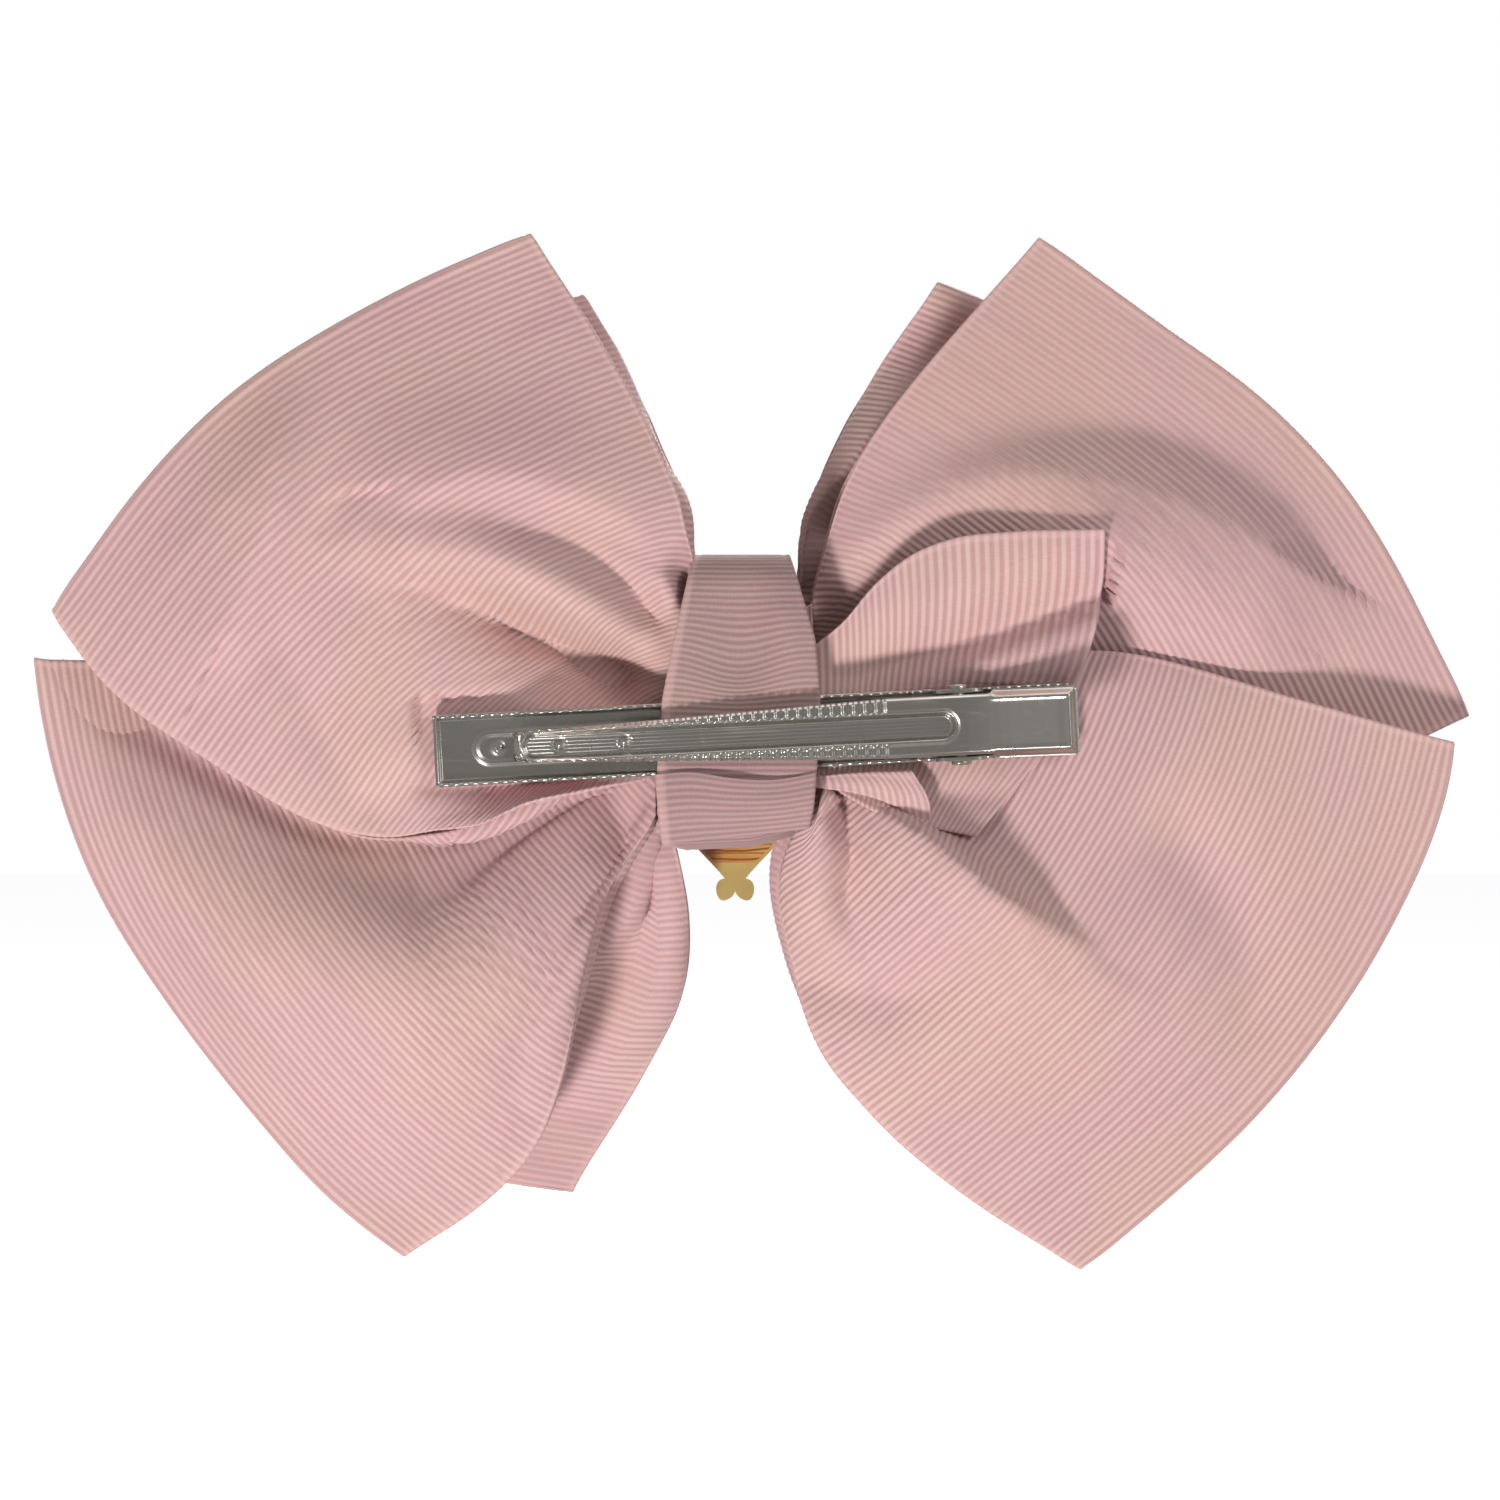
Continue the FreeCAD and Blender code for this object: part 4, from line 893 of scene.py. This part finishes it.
def enamel():
    """Amber enamel in curved bands of two ambers, with thin dark lines between them."""
    n = Nodes(bpy.data.materials.new("amber_enamel"))
    where = n.coordinates()
    x, _, z = n.split(where)
    lift = n.math("MULTIPLY", n.math("POWER", n.math("ABSOLUTE", n.math("ADD", x, 0.0006)), 2.0), 24.0)
    level = n.math("SUBTRACT", z, lift)
    wobble = n.math("MULTIPLY", n.noise(where, 260.0, 2.0), 0.0004)
    turn = n.math("MULTIPLY", n.math("ADD", level, wobble), TURN / 0.00105)
    line = n.ramp(n.math("COSINE", turn), 0.55, 0.98)
    bands = n.noise(n.stretched(where, (0.2, 0.2, 1.0)), 480.0, 1.0)
    body = n.mix(n.ramp(bands, 0.35, 0.65), srgb(196, 132, 72), srgb(222, 168, 92))
    colour = n.mix(line, body, srgb(150, 90, 52))
    n.set(Base_Color=colour, Roughness=n.ramp(bands, 0.3, 0.7, 0.24, 0.34), Normal=n.bump(line, 0.00008, 0.5))
    n.set(Coat_Weight=0.6, Coat_Roughness=0.12)
    return n.owner


def glue_material():
    """Clear glue gone slightly yellow, mottled, with a fine bump."""
    n = Nodes(bpy.data.materials.new("clear_glue"))
    mottle = n.noise(n.coordinates(), 700.0, 3.0, 0.6)
    body = n.mix(n.ramp(mottle, 0.35, 0.65), srgb(214, 200, 178), srgb(190, 160, 120))
    n.set(Base_Color=body, Roughness=n.ramp(mottle, 0.3, 0.7, 0.25, 0.37), Transmission_Weight=0.3)
    n.set(Normal=n.bump(mottle, 0.0001, 0.6))
    return n.owner


def thread_material():
    """Pink sewing thread with the twist of its strands."""
    n = Nodes(bpy.data.materials.new("pink_thread"))
    x, y, z = n.split(n.coordinates())
    twist = n.math("SINE", n.math("MULTIPLY", n.math("ADD", n.math("ADD", x, y), z), TURN / 0.0007))
    n.set(Base_Color=n.mix(n.ramp(twist, -0.6, 0.8), srgb(150, 104, 98), srgb(206, 164, 156)), Roughness=0.6,
          Normal=n.bump(twist, 0.00006, 0.6))
    return n.owner


# -------- pieces
def own(obj, node, material):
    """obj stands for a CAD node, rides with the bow and has this material."""
    obj.data.materials.append(material)
    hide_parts(node)
    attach(obj, "bow")


def build_loops(material):
    """The four strips, each of two settled loops and the pleated ribbon between them inside the knot."""
    settled = relax()
    strips = (("ribbon_layer_1", "UL", "LR", True), ("ribbon_layer_2", "UR", "LL", False),
              ("ribbon_layer_3", "UR2", "LL2", False), ("ribbon_layer_4", "UL2", "LR2", True))
    for k, (node, one, other, flip) in enumerate(strips):
        patches, length = [], 0.0
        for i, name in enumerate((one, other)):
            P, legs = settled[name]
            patches.append(loop_patch(P, legs, 0.17 * (2 * k + i), FOLDS.get(name, ())))
            length += sum(leg.mean() for leg in legs)
        for depth in LOOPS[one]["y"][:2]:
            P = root_bridge(LOOPS[one], LOOPS[other], depth, flip)
            run = mean_length(P)
            patches.append(flat_patch(P, run, WIDTH, 40, lift=0.12))
            length += run
        obj = skin_mesh(f"ribbon_strip_{k + 1}", patches)
        own(obj, node, material)


def build_tails(material):
    """The two cut ends."""
    P = tail_long()
    length, width = mean_length(P), mean_length(P, 1)
    obj = skin_mesh("tail_long_ribbon", [flat_patch(P, length, width, 24)])
    own(obj, "ribbon_tail_long", material)
    P = tail_short()
    length, width = mean_length(P), mean_length(P, 1)
    obj = skin_mesh("tail_short_ribbon", [flat_patch(P, length, width, 10)])
    own(obj, "ribbon_tail_short", material)


def build_knot(material):
    """The narrow ribbon's two turns round the knot."""
    P, Q = band_grid(), band_lower()
    run, wide, more = mean_length(P), mean_length(P, 1), mean_length(Q)
    obj = skin_mesh("knot_band_ribbon", [flat_patch(P, run, wide, 26, thick=0.3, lift=0.09, pitch=FINE_RIB),
                                         flat_patch(Q, more, wide, 22, thick=0.3, lift=0.07, pitch=FINE_RIB)])
    own(obj, "knot_band", material)


def build_spring(material):
    """The leaf spring between the two arms, a copy of the CAD one with its own material."""
    source = bpy.data.objects["clip_spring"]
    obj = new_object("leaf_spring", source.data.copy())
    obj.matrix_world = source.matrix_world
    obj.data.materials.clear()
    obj.data.materials.append(material)
    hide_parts("clip_spring")
    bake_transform(obj)


def dress_cad(materials):
    """Puts a material on every CAD node that stays, and rounds the stamped steel's sharp edges a little."""
    for node, material in materials.items():
        obj = bpy.data.objects[node]
        obj.data.materials.clear()
        obj.data.materials.append(material)
        if node.startswith(("clip_", "charm_")):
            round_edges(obj, 0.00009)


# -------- stage
def floor():
    """A plain pale floor, just below the lowest loop."""
    half, z = 3.0, -0.0646
    mesh = bpy.data.meshes.new("floor")
    corners = [(-half, -half, z), (half, -half, z), (half, half, z), (-half, half, z)]
    mesh.from_pydata(corners, [], [(0, 1, 2, 3)])
    obj = new_object("floor", mesh)
    n = Nodes(bpy.data.materials.new("pale_floor"))
    grain = n.noise(n.coordinates(), 30.0)
    pale = n.mix(n.ramp(grain, 0.3, 0.7), (0.86, 0.86, 0.86, 1), (0.88, 0.88, 0.88, 1))
    n.set(Base_Color=pale, Roughness=0.9, Specular_IOR_Level=0.0)
    n.set(Emission_Color=(1, 1, 1, 1), Emission_Strength=0.72)
    mesh.materials.append(n.owner)
    obj.visible_diffuse = obj.visible_glossy = obj.visible_shadow = False


def lamp(name, place, size, power, colour=(1, 1, 1), glints=True):
    """A square area lamp that faces the knot; glints says whether shiny faces show it."""
    light = bpy.data.lights.new(name, "AREA")
    light.shape = "RECTANGLE"
    light.size = light.size_y = size
    light.energy, light.color = power, colour
    obj = new_object(name, light)
    obj.location = place
    obj.rotation_euler = (-Vector(place)).to_track_quat("-Z", "Y").to_euler()
    obj.visible_camera = False
    obj.visible_glossy = glints


def world():
    """White all round: brighter to the camera than as light, so that the folds keep their shading."""
    n, white = Nodes(bpy.data.worlds.new("studio")), (1, 1, 1, 1)
    _, y, z = n.split(n.coordinates("Generated"))
    light = n.math("MULTIPLY", n.ramp(z, -0.5, 0.6, 0.32, 0.29), n.ramp(y, -0.995, -0.80, 0.64, 1.0))
    light = n.add("ShaderNodeBackground", {"Color": white, "Strength": light}).outputs[0]
    seen = n.add("ShaderNodeBackground", {"Color": white}).outputs[0]
    to_camera = n.add("ShaderNodeLightPath").outputs["Is Camera Ray"]
    choice = n.add("ShaderNodeMixShader", {0: to_camera, 1: light, 2: seen})
    n.put(n.tree.nodes["World Output"].inputs["Surface"], choice.outputs[0])
    bpy.context.scene.world = n.owner


def camera():
    """Straight at the clip side, level with the knot, from nearly a metre away."""
    data = bpy.data.cameras.new("camera")
    data.lens, data.sensor_width = 185.0, 36.0
    obj = new_object("camera", data)
    obj.location = (0.00117, -0.9, -0.00175)
    obj.rotation_euler = (math.pi / 2, 0, 0)
    bpy.context.scene.camera = obj


def main():
    """Materials, pieces, stage, light and camera."""
    bpy.context.scene.view_settings.view_transform = "Standard"
    wide = grosgrain("grosgrain_wide", WIDTH)
    narrow = grosgrain("grosgrain_narrow", BAND_WIDTH, FINE_RIB, 0.66)
    nickel = metal("nickel_plate", srgb(206, 201, 193), 0.24, 0.07)
    spring = metal("spring_steel", srgb(160, 158, 154), 0.30, 0.08)
    gold = metal("gold_plate", srgb(236, 208, 134), 0.38, 0.08, shine=0.45)
    amber = enamel()
    build_knot(narrow)
    build_loops(wide)
    build_tails(wide)
    build_spring(spring)
    build_clip(nickel)
    dress_cad({
        "clip_hinge_pin": nickel,
        "charm_plate": gold, "charm_back_enamel": amber, "charm_front_dome": amber,
        "charm_glue_pad": glue_material(), "gathering_thread": thread_material()})
    floor()
    world()
    lamp("key", (-0.42, -0.80, -0.78), 0.16, 9.0, (1.0, 0.985, 0.965), glints=False)
    lamp("glint", (-0.46, -0.80, -0.74), 0.14, 4.0)
    lamp("fill", (0.75, -0.9, 0.35), 0.5, 5.0, (0.96, 0.97, 1.0))
    lamp("top", (0.0, 0.05, 1.0), 0.7, 2.0)
    lamp("behind", (0.35, 0.85, 0.45), 0.7, 7.0)
    camera()


main()
